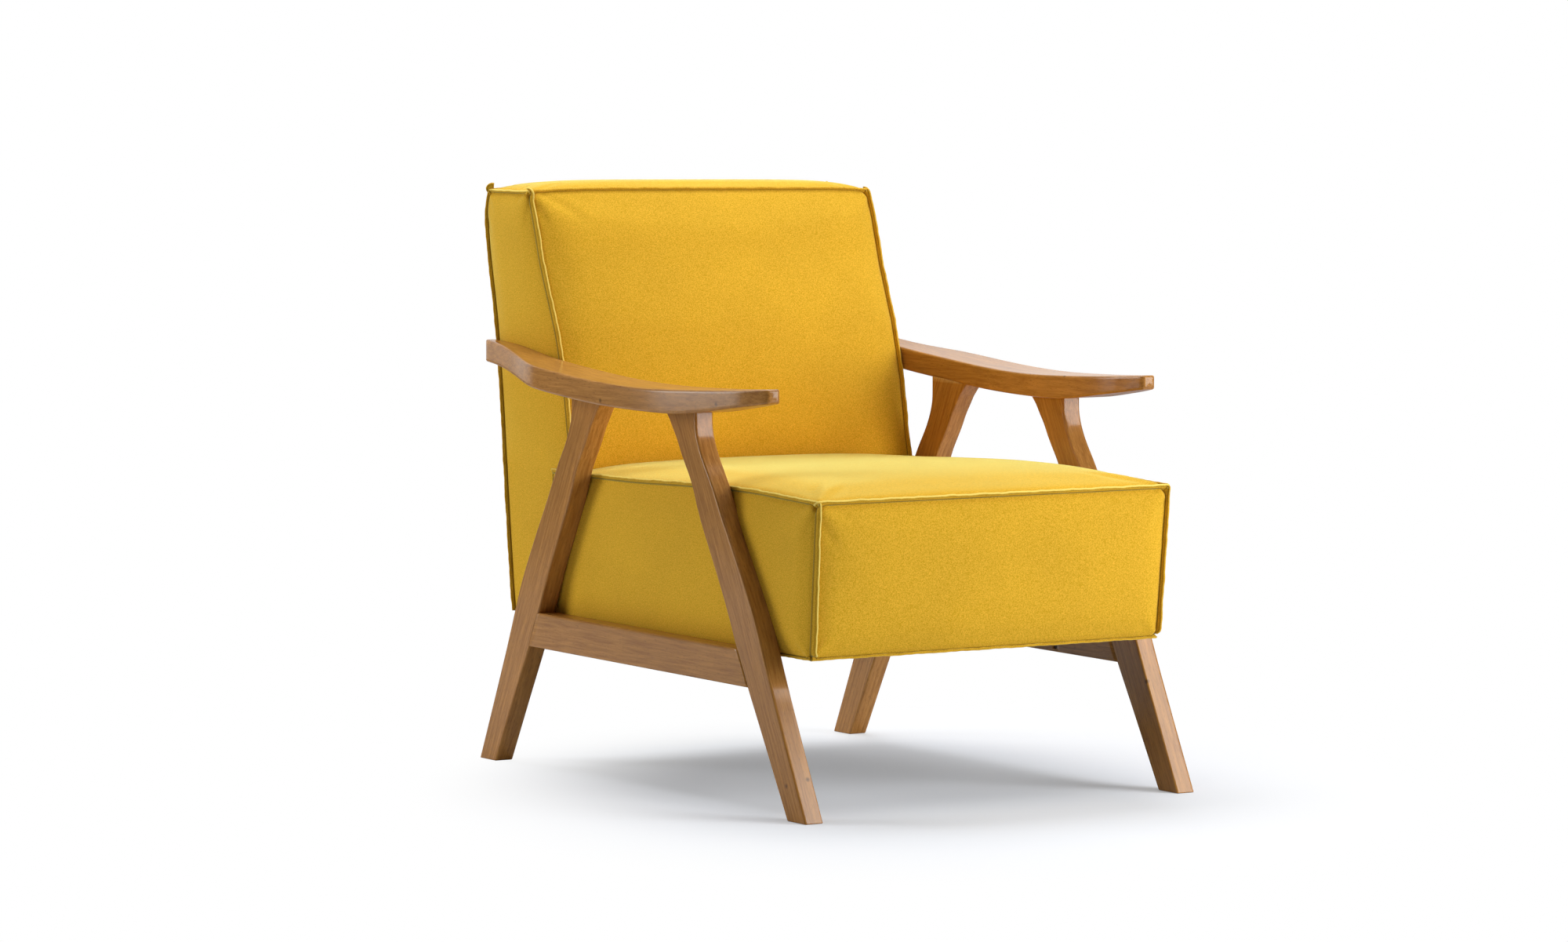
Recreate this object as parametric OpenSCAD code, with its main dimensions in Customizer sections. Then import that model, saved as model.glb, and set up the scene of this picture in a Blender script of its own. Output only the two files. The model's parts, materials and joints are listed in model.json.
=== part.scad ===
// Upholstered armchair: two open side frames of solid beech carry a seat
// unit and a back unit, each a timber frame with springs or webbing, foam
// and a sewn cover. +X is the sitter's left, the chair faces -Y, Z is up.
// The origin is on the floor in the middle of the chair's footprint.

/* [Side frames] */
// Width over the outer faces of the two side frames
frame_w = 600; // [560:1:680]
// Thickness of the boards that the legs and rails are cut from
stock = 27; // [24:0.5:32]
// Front of the front foot to rear of the rear foot
foot_span = 822; // [780:1:860]
// Length of each foot on the floor
foot_d = 43; // [36:1:50]
// Depth of a leg at its widest, beside the seat
leg_waist = 62; // [54:1:68]
// Depth of a leg at its neck, just above the seat
leg_neck = 51; // [44:1:56]
// Depth of a leg where it meets the arm
leg_head = 78; // [66:1:84]
// Height of the side rail's lower edge
rail_z = 158; // [140:1:170]
// Depth of the side rail, lower edge to upper edge
rail_h = 47; // [36:1:60]

// Height of the side rail's rear end above its front end
rail_rise = 7; // [0:1:12]
// Front foot's toe to the front leg's upright front edge under the arm
front_leg_run = 261; // [240:1:270]
// Rear foot's heel to the rear leg's upright rear edge under the arm
rear_leg_run = 248; // [236:1:262]

/* [Arms] */
// Front foot's toe to the nose of the arm
arm_setback = 90; // [70:1:110]
// Height of the lowest point of the arm's upper surface
arm_z = 529.5; // [500:0.5:560]
// Thickness of the arm over the legs
arm_t = 30; // [26:0.5:36]
// Thickness of the arm at its nose
nose_t = 18.5; // [14:0.5:24]
// Width of the arm's nose
nose_w = 19; // [14:1:30]
// Width of the arm at its rear tip
tail_w = 15; // [12:1:26]
// How far the arm stands outside the side frame at its widest
arm_out = 45; // [30:1:55]
// How far the arm reaches inside the side frame over the seat
arm_in = 11; // [0:1:14]
// Height that the arm climbs from its lowest point to its rear tip
arm_rise = 40; // [24:1:50]

/* [Seat unit] */
// Height of the seat's top seam
seat_z = 401.5; // [385:0.5:420]
// Height of the seat box, lower edge to top seam
seat_h = 198.5; // [180:0.5:215]
// Front foot's toe to the seat's front top seam
seat_setback = 22; // [14:1:36]
// Rear end of the seat box to the heel of the rear foot
seat_tail = 146; // [140:1:155]
// How far the front face leans back at its foot
seat_lean = 18; // [0:1:30]
// Rise of the seat's top above its seam
seat_crown = 17; // [8:0.5:24]
// Bulge of the seat's front face
front_crown = 8; // [3:0.5:14]
// Thickness of the seat frame's boards
board_t = 22; // [18:1:26]
// Height of the seat frame's boards
board_h = 125; // [110:1:140]
// Padding in front of the seat frame, at its foot
front_pad = 19; // [10:1:30]
// Diameter of the zigzag spring wire
wire_d = 3.4; // [2.8:0.1:4]
// Number of zigzag springs
springs = 5; // [3:1:6]

/* [Back unit] */
// How far the back cushion stands over the rear end of the seat box
back_overhang = 51; // [40:1:65]
// How far the back's front seam leans back on its way up
back_run = 113; // [95:1:130]
// Depth of the back unit at its foot, behind the seat box
back_foot_d = 103; // [92:1:120]
// Lean of the back's rear face from its foot to its shoulder
rear_run = 71; // [50:1:90]
// Height of the rear shoulder below the rear top seam
shoulder_drop = 38; // [25:1:50]
// Height of the back's front top seam
back_z = 771; // [740:1:800]
// Depth of the back at its top, front seam to rear edge
back_top_d = 98; // [82:1:115]
// Rise of the back's rear top seam above the front one
back_top_rise = 8; // [0:1:14]
// Bulge of the back's front face
back_crown = 26; // [12:1:32]
// Depth of the back's side panels
stile_d = 78; // [60:1:90]
// Number of elastic straps across the back
straps = 5; // [3:1:7]

/* [Cover] */
// Thickness of the cover fabric with its backing
cover_t = 1.5; // [1:0.1:2.5]
// Diameter of the welted seams
welt_d = 5.2; // [4:0.1:6]
// Bulge of the upholstered sides between their seams
side_crown = 4.7; // [3:0.1:5]

/* [Fixings] */
// Diameter of the bolts that hold the side frames
bolt_d = 8; // [6:1:8]
// Length of the bolts under the head
bolt_l = 50; // [45:1:52]
// Diameter of the beech dowels
dowel_d = 8; // [6:1:10]
// Length of the beech dowels
dowel_l = 40; // [30:1:44]

/* [Clearances] */
// Gap between pieces that lie against each other
seat_gap = 0.3; // [0.2:0.05:0.4]
// Gap round a dowel, bolt or insert in its hole, on the radius
hole_gap = 0.05; // [0.05:0.01:0.15]

/* [Hidden] */
$fn = 32;
eps = 0.01;
wood = "#a5744c";
pale_wood = "#d8bd8c";
fabric = "#e0a41f";
foam_colour = "#efe6c8";
steel = "#b9bcc0";
black_cloth = "#2b2b2b";
liner_brown = "#b08d5e";
felt_grey = "#8f8a80";

// Places worked out from the sizes above, on a foot-centred Y
leg_out = frame_w / 2;
leg_in = leg_out - stock;
leg_mid = leg_out - stock / 2;
toe_y = -foot_span / 2;
heel_y = foot_span / 2;
arm_under = arm_z - arm_t;
arm_nose_y = toe_y + arm_setback;
arm_top_margin = 25;

welt_r = welt_d / 2;
welt_reach = welt_r + seat_gap / 2;
welt_tilt = 36;
welt_side = welt_reach * sin(welt_tilt);
welt_up = welt_reach * cos(welt_tilt);

seam_x = leg_in - seat_gap - max(side_crown, welt_side + welt_r);
seat_bot = seat_z - seat_h;
seat_front = toe_y + seat_setback;
seat_rear = heel_y - seat_tail;
seat_d = seat_rear - seat_front;
inner_t = cover_t + seat_gap;
side_pad = 4.2;
board_out = seam_x - inner_t - side_pad;
board_in = board_out - board_t;
board_bot = seat_bot + inner_t;
board_top = board_bot + board_h;
front_board_y = seat_front + seat_lean + inner_t + front_pad;
rear_board_y = seat_rear - board_t;

back_front = seat_rear - back_overhang;
back_bot_y = seat_rear + seat_gap;
rear_foot_y = seat_rear + back_foot_d;
rear_top_z = back_z + back_top_rise;
shoulder_z = rear_top_z - shoulder_drop;
shoulder_y = rear_foot_y + rear_run;
top_front_y = back_front + back_run;
top_rear_y = top_front_y + back_top_d;
stile_t = 18;
stile_in = board_out - stile_t;
liner_t = 2.2;
liner_gap = inner_t + liner_t + 2 * seat_gap;
stile_top = shoulder_z - 3;

rear_reach = shoulder_y + welt_up + welt_r;
mid_y = (rear_reach + toe_y) / 2;

// --- curves -------------------------------------------------------------

// One point of a Catmull-Rom curve between b and c
function on_curve(a, b, c, d, t) = 0.5 * (2 * b + (c - a) * t
    + (2 * a - 5 * b + 4 * c - d) * t * t
    + (3 * b - a - 3 * c + d) * t * t * t);

// A smooth run through points, n steps between each two
function curve(p, n = 4) = let (last = len(p) - 1) concat(
    [for (i = [0:last - 1], k = [0:n - 1])
        on_curve(p[max(i - 1, 0)], p[i], p[i + 1], p[min(i + 2, last)], k / n)],
    [p[last]]);

function turned(p) = [for (i = [len(p) - 1:-1:0]) p[i]];
function swapped(p) = [for (q = p) [q.y, q.x]];

// Height of a crown of rise h at the share t of its span
function crown(t, h, power = 2.6) = h * (1 - pow(abs(2 * t - 1), power));

// A straight edge from a to b that swells by h to its right-hand side
function swell(a, b, h, n, from = 0, to = 1) = let (
    along = b - a,
    out = [along.y, -along.x] / norm(along))
    [for (k = [0:n]) let (t = from + (to - from) * k / n)
        a + along * t + out * crown(t, h)];

// A counter-clockwise outline drawn in by g on every side
function inset(p, g) = let (n = len(p)) [for (i = [0:n - 1]) let (
    e = p[i] - p[(i + n - 1) % n],
    f = p[(i + 1) % n] - p[i],
    u = [-e.y, e.x] / norm(e),
    v = [-f.y, f.x] / norm(f))
    p[i] + g * (u + v) / (1 + u * v)];

// --- placing ------------------------------------------------------------

module place() translate([0, -mid_y, 0]) children();

module sided(side) mirror([side < 0 ? 1 : 0, 0, 0]) children();

// A (Y, Z) outline as a plate from x0 to x1
module side_plate(x0, x1) translate([x0, 0, 0]) rotate([90, 0, 90])
    linear_extrude(x1 - x0) children();

// An (X, Z) outline as a plate from y0 to y1
module front_plate(y0, y1) translate([0, y1, 0]) rotate([90, 0, 0])
    linear_extrude(y1 - y0) children();

// A box from its two corners
module block(a, b) translate(a) cube(b - a);

module pair(x) for (side = [-1, 1]) translate([side * x, 0, 0]) children();

module rod_x(x0, x1, y, z, r) translate([x0, y, z]) rotate([0, 90, 0])
    cylinder(r = r, h = x1 - x0);

module rod_y(x, y0, y1, z, r) translate([x, y0, z]) rotate([-90, 0, 0])
    cylinder(r = r, h = y1 - y0);

// --- side frames --------------------------------------------------------

// Share of a leg's run that it has made at each height
leg_lean = [[0, 0], [150, 0.285], [240, 0.445], [300, 0.58],
    [arm_under - 135, 0.74], [arm_under - 90, 0.845],
    [arm_under - 60, 0.927], [arm_under - 42, 0.967],
    [arm_under - 25, 0.992], [arm_under - 10, 1],
    [arm_under + arm_top_margin, 1]];

// Depth of a leg at each height
leg_depth = [[0, foot_d], [110, (foot_d + leg_waist) / 2],
    [200, leg_waist], [270, leg_waist],
    [arm_under - 135, (leg_waist + leg_neck) / 2 + 1],
    [arm_under - 90, leg_neck], [arm_under - 42, leg_neck],
    [arm_under - 25, leg_neck + 0.2 * (leg_head - leg_neck)],
    [arm_under - 10, leg_neck + 0.52 * (leg_head - leg_neck)],
    [arm_under + 3, leg_head],
    [arm_under + arm_top_margin, leg_head * 1.35]];

lean_curve = curve(leg_lean, 3);
depth_curve = curve(leg_depth, 3);
leg_levels = [for (q = lean_curve) q.x];

// Outer and inner edge of a leg that starts at y on the floor
function outer_edge(y, run) = [for (q = lean_curve) [y + run * q.y, q.x]];
function inner_edge(y, run) = [for (z = leg_levels)
    [y + run * lookup(z, lean_curve)
        + sign(run) * lookup(z, depth_curve), z]];

front_outer = outer_edge(toe_y, front_leg_run);
front_inner = inner_edge(toe_y, front_leg_run);
rear_outer = outer_edge(heel_y, -rear_leg_run);
rear_inner = inner_edge(heel_y, -rear_leg_run);

function edge_y(edge, z) = lookup(z, swapped(edge));

module front_leg_outline() polygon(concat(turned(front_outer), front_inner));
module rear_leg_outline() polygon(concat(rear_outer, turned(rear_inner)));

// Upper surface of the arm from nose to tip, and its thickness there
arm_tip_y = heel_y;
arm_top = [[arm_nose_y, 8.5], [arm_nose_y + 110, 3], [arm_nose_y + 240, 0],
    [arm_nose_y + 350, 0.083 * arm_rise], [arm_nose_y + 470, 0.31 * arm_rise],
    [arm_nose_y + 570, 0.55 * arm_rise], [arm_tip_y - 70, 0.88 * arm_rise],
    [arm_tip_y, arm_rise]];
arm_bottom = concat(
    [arm_top[0] - [0, nose_t],
        [arm_nose_y + 70, 5.2 - (nose_t + arm_t) / 2],
        [arm_nose_y + 158, 1 - arm_t]],
    [for (i = [2:len(arm_top) - 1]) arm_top[i] - [0, arm_t]]);

arm_top_line = curve([for (q = arm_top) q + [0, arm_z]]);
arm_bottom_line = curve([for (q = arm_bottom) q + [0, arm_z]]);

function arm_under_at(y) = lookup(y, arm_bottom_line);

// Plan of the left arm, as [y, x] along each edge from nose to tip
nose_x = leg_mid + 3;
arm_outer = [[arm_nose_y, nose_x + nose_w / 2],
    [arm_nose_y + 52, leg_out + arm_out * 0.32],
    [arm_nose_y + 115, leg_out + arm_out * 0.57],
    [arm_nose_y + 200, leg_out + arm_out * 0.8],
    [arm_nose_y + 310, leg_out + arm_out * 0.94],
    [arm_nose_y + 420, leg_out + arm_out],
    [arm_nose_y + 490, leg_out + arm_out * 0.99],
    [arm_nose_y + 530, leg_out + arm_out * 0.86],
    [arm_tip_y - 132, leg_out + arm_out * 0.4],
    [arm_tip_y - 66, leg_out + arm_out * 0.06],
    [arm_tip_y, leg_in + 2 * seat_gap + tail_w]];
arm_inner = [[arm_nose_y, nose_x - nose_w / 2],
    [arm_nose_y + 55, leg_in - arm_in * 0.25],
    [arm_nose_y + 130, leg_in - arm_in * 0.9],
    [arm_nose_y + 215, leg_in - arm_in],
    [arm_nose_y + 340, leg_in - arm_in * 0.35],
    [arm_nose_y + 460, leg_in + 2 * seat_gap],
    [arm_tip_y - 90, leg_in + 2 * seat_gap],
    [arm_tip_y, leg_in + 2 * seat_gap]];

module above_arm_underside() polygon(concat(arm_bottom_line,
    [[arm_tip_y, arm_z + 200], [arm_nose_y, arm_z + 200]]));

// Dowels: [y, z] at the middle of each joint between rail and leg
rail_mid = rail_z + rail_h / 2;
rail_dowel_gap = rail_h * 0.24;
function rail_lift(y) = rail_rise * (y - toe_y) / foot_span;
rail_dowels_at = [for (edge = [front_inner, rear_inner],
        step = [-rail_dowel_gap, rail_dowel_gap])
    let (z = rail_mid + rail_lift(edge_y(edge, rail_mid)) + step)
        [edge_y(edge, z), z]];
arm_dowel_edge = 22;
arm_dowels_at = [for (end = [[toe_y + front_leg_run, 1],
        [heel_y - rear_leg_run, -1]],
        step = [arm_dowel_edge, leg_head - arm_dowel_edge])
    let (y = end[0] + end[1] * step) [y, arm_under_at(y)]];

module rail_dowel_rods(r, l) for (q = rail_dowels_at)
    rod_y(leg_mid, q.x - l / 2, q.x + l / 2, q.y, r);

module arm_dowel_rods(r, l) for (q = arm_dowels_at)
    translate([leg_mid, q.x, q.y - l / 2]) cylinder(r = r, h = l);

dowel_hole_r = dowel_d / 2 + hole_gap;
dowel_hole_l = dowel_l + 2;

// Bolts that hold a side frame: [y, z] and the thickness they clamp
washer_r = bolt_d * 1.1;
washer_t = bolt_d * 0.2;
insert_r = bolt_d * 0.75;
insert_l = stock * 2 / 3;
bolt_low_z = seat_bot + board_h * 0.256;
bolt_high_z = seat_bot + board_h * 0.816;
stile_bolt_z = seat_bot + board_h * 0.136;
function leg_mid_y(outer, inner, z) =
    (edge_y(outer, z) + edge_y(inner, z)) / 2;
front_bolts_at = [for (z = [bolt_low_z, bolt_high_z])
    [leg_mid_y(front_outer, front_inner, z), z]];
rear_bolt_at = [rear_board_y - washer_r - 5, bolt_high_z];
stile_bolt_at = [back_bot_y + board_t + washer_r + 1, stile_bolt_z];
seat_bolts_at = concat(front_bolts_at, [rear_bolt_at]);
side_bolts_at = concat(seat_bolts_at, [stile_bolt_at]);

module bolt_holes(at, x0, x1, r = bolt_d / 2 + hole_gap)
    for (q = at) rod_x(x0, x1, q.x, q.y, r);

module leg(outline) difference() {
    side_plate(leg_in, leg_out) difference() {
        if (outline == "front") front_leg_outline();
        else rear_leg_outline();
        above_arm_underside();
    }
    rail_dowel_rods(dowel_hole_r, dowel_hole_l);
    arm_dowel_rods(dowel_hole_r, dowel_hole_l);
    bolt_holes(side_bolts_at, leg_in - 1, leg_in + insert_l + 0.5,
        insert_r + hole_gap);
    bolt_holes(side_bolts_at, leg_in, stile_in - washer_t + bolt_l + 1);
}

// Locating hole inside the rail and the plug in it
plug_r = dowel_d / 2;
plug_l = stock * 2 / 9;
plug_sunk = 1;
plug_y = toe_y + foot_span * 0.337;
plug_z = rail_z + rail_lift(plug_y) + 2 * plug_r;

// Where the rail's edge at height z would end inside the leg at one end
function rail_corner(end, z) = let (
    y = end < 0 ? leg_mid_y(front_outer, front_inner, z)
        : leg_mid_y(rear_outer, rear_inner, z))
    [y, z + rail_lift(y)];

module side_rail() difference() {
    side_plate(leg_in, leg_out) difference() {
        polygon([for (q = [[-1, 0], [1, 0], [1, rail_h], [-1, rail_h]])
            rail_corner(q.x, rail_z + q.y)]);
        front_leg_outline();
        rear_leg_outline();
    }
    rail_dowel_rods(dowel_hole_r, dowel_hole_l);
    rod_x(leg_in - 1, leg_in + plug_l + plug_sunk, plug_y, plug_z,
        plug_r + hole_gap);
}

module arm() difference() {
    intersection() {
        side_plate(leg_in - 40, leg_out + 80)
            polygon(concat(arm_bottom_line, turned(arm_top_line)));
        translate([0, 0, arm_under - 60]) linear_extrude(200)
            polygon(swapped(concat(curve(arm_inner), turned(curve(arm_outer)))));
    }
    arm_dowel_rods(dowel_hole_r, dowel_hole_l);
}

module left_front_leg() color(wood) place() leg("front");
module left_rear_leg() color(wood) place() leg("rear");
module left_side_rail() color(wood) place() side_rail();
module left_arm() color(wood) place() arm();
module right_front_leg() color(wood) place() sided(-1) leg("front");
module right_rear_leg() color(wood) place() sided(-1) leg("rear");
module right_side_rail() color(wood) place() sided(-1) side_rail();
module right_arm() color(wood) place() sided(-1) arm();

module rail_dowels() color(pale_wood) place() for (side = [-1, 1])
    sided(side) rail_dowel_rods(dowel_d / 2, dowel_l);

module arm_dowels() color(pale_wood) place() for (side = [-1, 1])
    sided(side) arm_dowel_rods(dowel_d / 2, dowel_l);

module rail_plugs() color(pale_wood) place() for (side = [-1, 1])
    sided(side) rod_x(leg_in + plug_sunk, leg_in + plug_sunk + plug_l,
        plug_y, plug_z, plug_r);

module threaded_inserts() color(steel) place() for (side = [-1, 1])
    sided(side) difference() {
        bolt_holes(side_bolts_at, leg_in, leg_in + insert_l, insert_r);
        bolt_holes(side_bolts_at, leg_in - 1, leg_in + insert_l + 1);
    }

// --- fixings ------------------------------------------------------------

head_t = bolt_d * 0.6;
head_r = bolt_d * 0.8;
socket_r = bolt_d * 0.33;

// A button-head bolt along X with its head's underside at x = 0
module bolt(l) {
    difference() {
        rod_x(-head_t, 0, 0, 0, head_r);
        translate([-head_t - 1, 0, 0]) rotate([0, 90, 0])
            cylinder(r = socket_r, h = head_t * 0.6 + 1, $fn = 6);
    }
    rod_x(-eps, l, 0, 0, bolt_d / 2);
}

module frame_bolts() color(steel) place() for (side = [-1, 1]) sided(side) {
    for (q = seat_bolts_at)
        translate([board_in - washer_t, q.x, q.y]) bolt(bolt_l);
    translate([stile_in - washer_t, stile_bolt_at.x, stile_bolt_at.y])
        bolt(bolt_l);
}

module washer_x() difference() {
    rod_x(0, washer_t, 0, 0, washer_r);
    rod_x(-1, washer_t + 1, 0, 0, bolt_d / 2 + hole_gap);
}

module bolt_washers() color(steel) place() {
    for (side = [-1, 1]) sided(side) {
        for (q = seat_bolts_at)
            translate([board_in - washer_t, q.x, q.y]) washer_x();
        translate([stile_in - washer_t, stile_bolt_at.x, stile_bolt_at.y])
            washer_x();
    }
    pair(back_bolt_x) translate([0, back_bot_y + board_t + washer_t,
        back_bolt_z]) rotate([0, 0, -90]) washer_x();
}

// Bolts along Y that hold the back unit to the seat unit
back_bolt_x = 150;
back_bolt_z = seat_bot + board_h / 2;
nut_t = bolt_d * 0.8;
nut_r = bolt_d * 0.93;
back_bolt_l = 2 * board_t + seat_gap + washer_t + nut_t + 3;

module back_bolt_holes(y0, y1) pair(back_bolt_x)
    rod_y(0, y0, y1, back_bolt_z, bolt_d / 2 + hole_gap);

module back_bolts() color(steel) place() pair(back_bolt_x)
    translate([0, back_bot_y + board_t + washer_t, back_bolt_z])
        rotate([0, 0, -90]) bolt(back_bolt_l);

module back_nuts() color(steel) place() difference() {
    pair(back_bolt_x) translate([0, rear_board_y, back_bolt_z])
        rotate([90, 0, 0]) cylinder(r = nut_r, h = nut_t, $fn = 6);
    back_bolt_holes(rear_board_y - nut_t - 1, rear_board_y + 1);
}

// --- seat unit ----------------------------------------------------------

crown_end = seat_rear + seat_d / 10;
crown_at_rear = (crown_end - seat_rear) / (crown_end - seat_front);

function seat_side_outline(g) = inset(concat(
    [[seat_front + seat_lean, seat_bot], [seat_rear, seat_bot]],
    swell([crown_end, seat_z], [seat_front, seat_z], seat_crown, 14,
        crown_at_rear),
    swell([seat_front, seat_z], [seat_front + seat_lean, seat_bot],
        front_crown, 8, 0.04, 0.96)), g);

function seat_front_outline(g) = inset(concat(
    swell([seam_x, seat_bot], [seam_x, seat_z], side_crown, 8, 0, 0.97),
    swell([seam_x, seat_z], [-seam_x, seat_z], seat_crown, 18),
    swell([-seam_x, seat_z], [-seam_x, seat_bot], side_crown, 8, 0.03)), g);

// Length that a cutting shape runs past what it cuts
margin = 60;
side_flare = 10;

// Plan of a cushion whose front edge, along y = 0, swells by h
function bowed_plan(h, g) = inset(concat(
    swell([-seam_x, 0], [seam_x, 0], h, 18),
    [[seam_x + side_flare, 2 * side_flare], [seam_x + side_flare, foot_span],
        [-seam_x - side_flare, foot_span],
        [-seam_x - side_flare, 2 * side_flare]]), g);

module seat_block(g) intersection() {
    side_plate(-leg_in, leg_in) polygon(seat_side_outline(g));
    front_plate(seat_front - margin, seat_rear + margin)
        polygon(seat_front_outline(g));
    translate([0, seat_front, seat_z])
        rotate([atan2(seat_lean, seat_h), 0, 0])
            translate([0, 0, -seat_h - margin])
                linear_extrude(seat_h + 2 * margin)
                    polygon(bowed_plan(front_crown, g));
}

module seat_side_board() difference() {
    block([board_in, front_board_y, board_bot],
        [board_out, seat_rear, board_top]);
    bolt_holes(seat_bolts_at, board_in - 1, board_out + 1);
}

module seat_left_board() color(pale_wood) place() seat_side_board();
module seat_right_board() color(pale_wood) place() sided(-1)
    seat_side_board();

module seat_front_board() color(pale_wood) place()
    block([-board_in, front_board_y, board_bot],
        [board_in, front_board_y + board_t, board_top]);

module seat_rear_board() color(pale_wood) place() difference() {
    block([-board_in, rear_board_y, board_bot],
        [board_in, seat_rear, board_top]);
    back_bolt_holes(rear_board_y - 1, seat_rear + 1);
}

corner_leg = 45;
corner_h = 75;

module seat_corner_blocks() color(pale_wood) place() for (side = [-1, 1])
    sided(side) for (end = [[front_board_y + board_t, 1], [rear_board_y, -1]])
        translate([board_in, end[0], board_bot]) linear_extrude(corner_h)
            polygon([[0, 0], [0, end[1] * corner_leg], [-corner_leg, 0]]);

wire_z = board_top + 0.7 * wire_d;
clip_t = 2 * (wire_z - board_top);
clip_w = 12;
clip_d = 14;
spring_w = 50;
spring_pitch = 36;
spring_y0 = front_board_y + board_t / 2;
spring_y1 = rear_board_y + board_t / 2;
bends = round((spring_y1 - spring_y0) / spring_pitch);
bend_r = (spring_y1 - spring_y0) / bends / 2;
run_half = spring_w / 2 - bend_r;
spring_step = 2 * (board_in - margin) / max(springs - 1, 1);

module along_springs() for (i = [0:springs - 1])
    translate([(i - (springs - 1) / 2) * spring_step, 0, 0]) children();

// One edge of the zigzag wire, g to the left of its middle
function spring_edge(g) = concat(
    [[-run_half, spring_y0 + g]],
    [for (k = [0:bends - 1]) let (
        way = k % 2 == 0 ? 1 : -1,
        r = bend_r - way * g)
        for (a = [-90:60:90])
            [way * (run_half + r * cos(a)),
                spring_y0 + (2 * k + 1) * bend_r + r * sin(a)]],
    [[(bends % 2 == 0 ? 1 : -1) * run_half,
        spring_y1 + (bends % 2 == 0 ? g : -g)]]);

module seat_springs() color(steel) place() along_springs()
    translate([0, 0, wire_z - wire_d / 2]) linear_extrude(wire_d) polygon(
        concat(spring_edge(wire_d / 2), turned(spring_edge(-wire_d / 2))));

clip_play = 0.1;

module spring_clips() color(steel) place() along_springs()
    for (y = [spring_y0, spring_y1]) difference() {
        block([-clip_w / 2, y - clip_d / 2, board_top],
            [clip_w / 2, y + clip_d / 2, board_top + clip_t]);
        block([-clip_w, y - wire_d / 2 - clip_play,
            wire_z - wire_d / 2 - clip_play],
            [clip_w, y + wire_d / 2 + clip_play,
            wire_z + wire_d / 2 + clip_play]);
    }

felt_t = 3;
felt_z = board_top + clip_t + seat_gap;
foam_z = felt_z + felt_t + seat_gap;

module spring_felt() color(felt_grey) place()
    block([-board_out, front_board_y, felt_z],
        [board_out, seat_rear - inner_t, felt_z + felt_t]);

module seat_foam() color(foam_colour) place() intersection() {
    seat_block(inner_t);
    block([-frame_w, seat_front - margin, foam_z],
        [frame_w, seat_rear, seat_z + margin]);
}

module seat_front_padding() color(foam_colour) place() intersection() {
    seat_block(inner_t);
    block([-frame_w, seat_front - margin, seat_bot],
        [frame_w, front_board_y - seat_gap, foam_z - seat_gap]);
}

module seat_side_padding() difference() {
    intersection() {
        seat_block(inner_t);
        block([board_out + seat_gap, front_board_y, seat_bot],
            [frame_w, seat_rear, foam_z - seat_gap]);
    }
    bolt_holes(seat_bolts_at, board_out, leg_in, bolt_d / 2 + 1);
}

module seat_left_padding() color(foam_colour) place() seat_side_padding();
module seat_right_padding() color(foam_colour) place() sided(-1)
    seat_side_padding();

hem = 25;

module seat_cover() color(fabric) place() difference() {
    seat_block(0);
    seat_block(cover_t);
    block([hem - board_out, front_board_y + hem, seat_bot - 1],
        [board_out - hem, seat_rear + 1, board_bot]);
    block([-board_out - seat_gap, seat_rear - 2 * cover_t, seat_bot + cover_t],
        [board_out + seat_gap, seat_rear + 1, board_top + seat_gap]);
    for (side = [-1, 1]) sided(side)
        bolt_holes(seat_bolts_at, board_out, leg_in, bolt_d / 2 + 1);
}

// A round cord along a path in the XY plane, mitred at each bend
cord_sides = 12;

function ahead(p, i) = let (d = p[i + 1] - p[i]) [-d.y, d.x] / norm(d);
function mitre(p, i) = let (
    u = ahead(p, max(i - 1, 0)),
    v = ahead(p, min(i, len(p) - 2)))
    (u + v) / (1 + u * v);

module flat_cord(p, r) {
    n = len(p);
    rings = [for (i = [0:n - 1], k = [0:cord_sides - 1])
        let (m = mitre(p, i), a = 360 * k / cord_sides)
            [p[i].x + r * cos(a) * m.x, p[i].y + r * cos(a) * m.y, r * sin(a)]];
    sides = [for (i = [0:n - 2], k = [0:cord_sides - 1])
        let (a = i * cord_sides, k1 = (k + 1) % cord_sides)
            [a + k, a + cord_sides + k, a + cord_sides + k1, a + k1]];
    first = [for (k = [0:cord_sides - 1]) k];
    last = [for (k = [cord_sides - 1:-1:0]) (n - 1) * cord_sides + k];
    polyhedron(rings, concat(sides, [first, last]));
}

welt_x = seam_x + welt_side;
seat_welt_y = seat_front - welt_up;
seat_welt_end = back_front - welt_up - 2 * welt_d;
seat_welt_low = seat_z + welt_up - welt_r - 2 * seat_gap;

module seat_welt() color(fabric) place() {
    translate([0, 0, seat_z + welt_up]) flat_cord([
        [-welt_x, seat_welt_end], [-welt_x, seat_welt_y],
        [welt_x, seat_welt_y], [welt_x, seat_welt_end]], welt_r);
    lean = seat_lean * (seat_z + welt_up - seat_welt_low) / seat_h;
    pair(welt_x) rotate([90, 0, 90]) flat_cord([
        [seat_welt_y + lean, seat_welt_low],
        [seat_welt_y + seat_lean, seat_bot]], welt_r);
}

// --- back unit ----------------------------------------------------------

// Share of the run that the front seam has made at each share of its height
seam_lean = [[0, 0], [0.25, 0.145], [0.5, 0.385], [1, 1]];
back_foot_z = seat_z + seat_gap;
bulge_start = 0.25;
top_crown = 4;

function seam_at(t) = [back_front + back_run * lookup(t, seam_lean),
    back_foot_z + (back_z - back_foot_z) * t];
seam_points = [for (q = seam_lean) seam_at(q.x)];

front_bulge = [for (k = [12:-1:0]) let (t = k / 12)
    seam_at(t) - [crown((t + bulge_start) / (1 + bulge_start), back_crown), 0]];

function back_side_outline(g) = inset(concat(
    [[back_bot_y, seat_bot], [rear_foot_y, seat_bot],
        [shoulder_y, shoulder_z]],
    swell([top_rear_y, rear_top_z], [top_front_y, back_z], top_crown, 5,
        0, 0.9),
    front_bulge, [[back_bot_y, back_foot_z]]), g);

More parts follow.
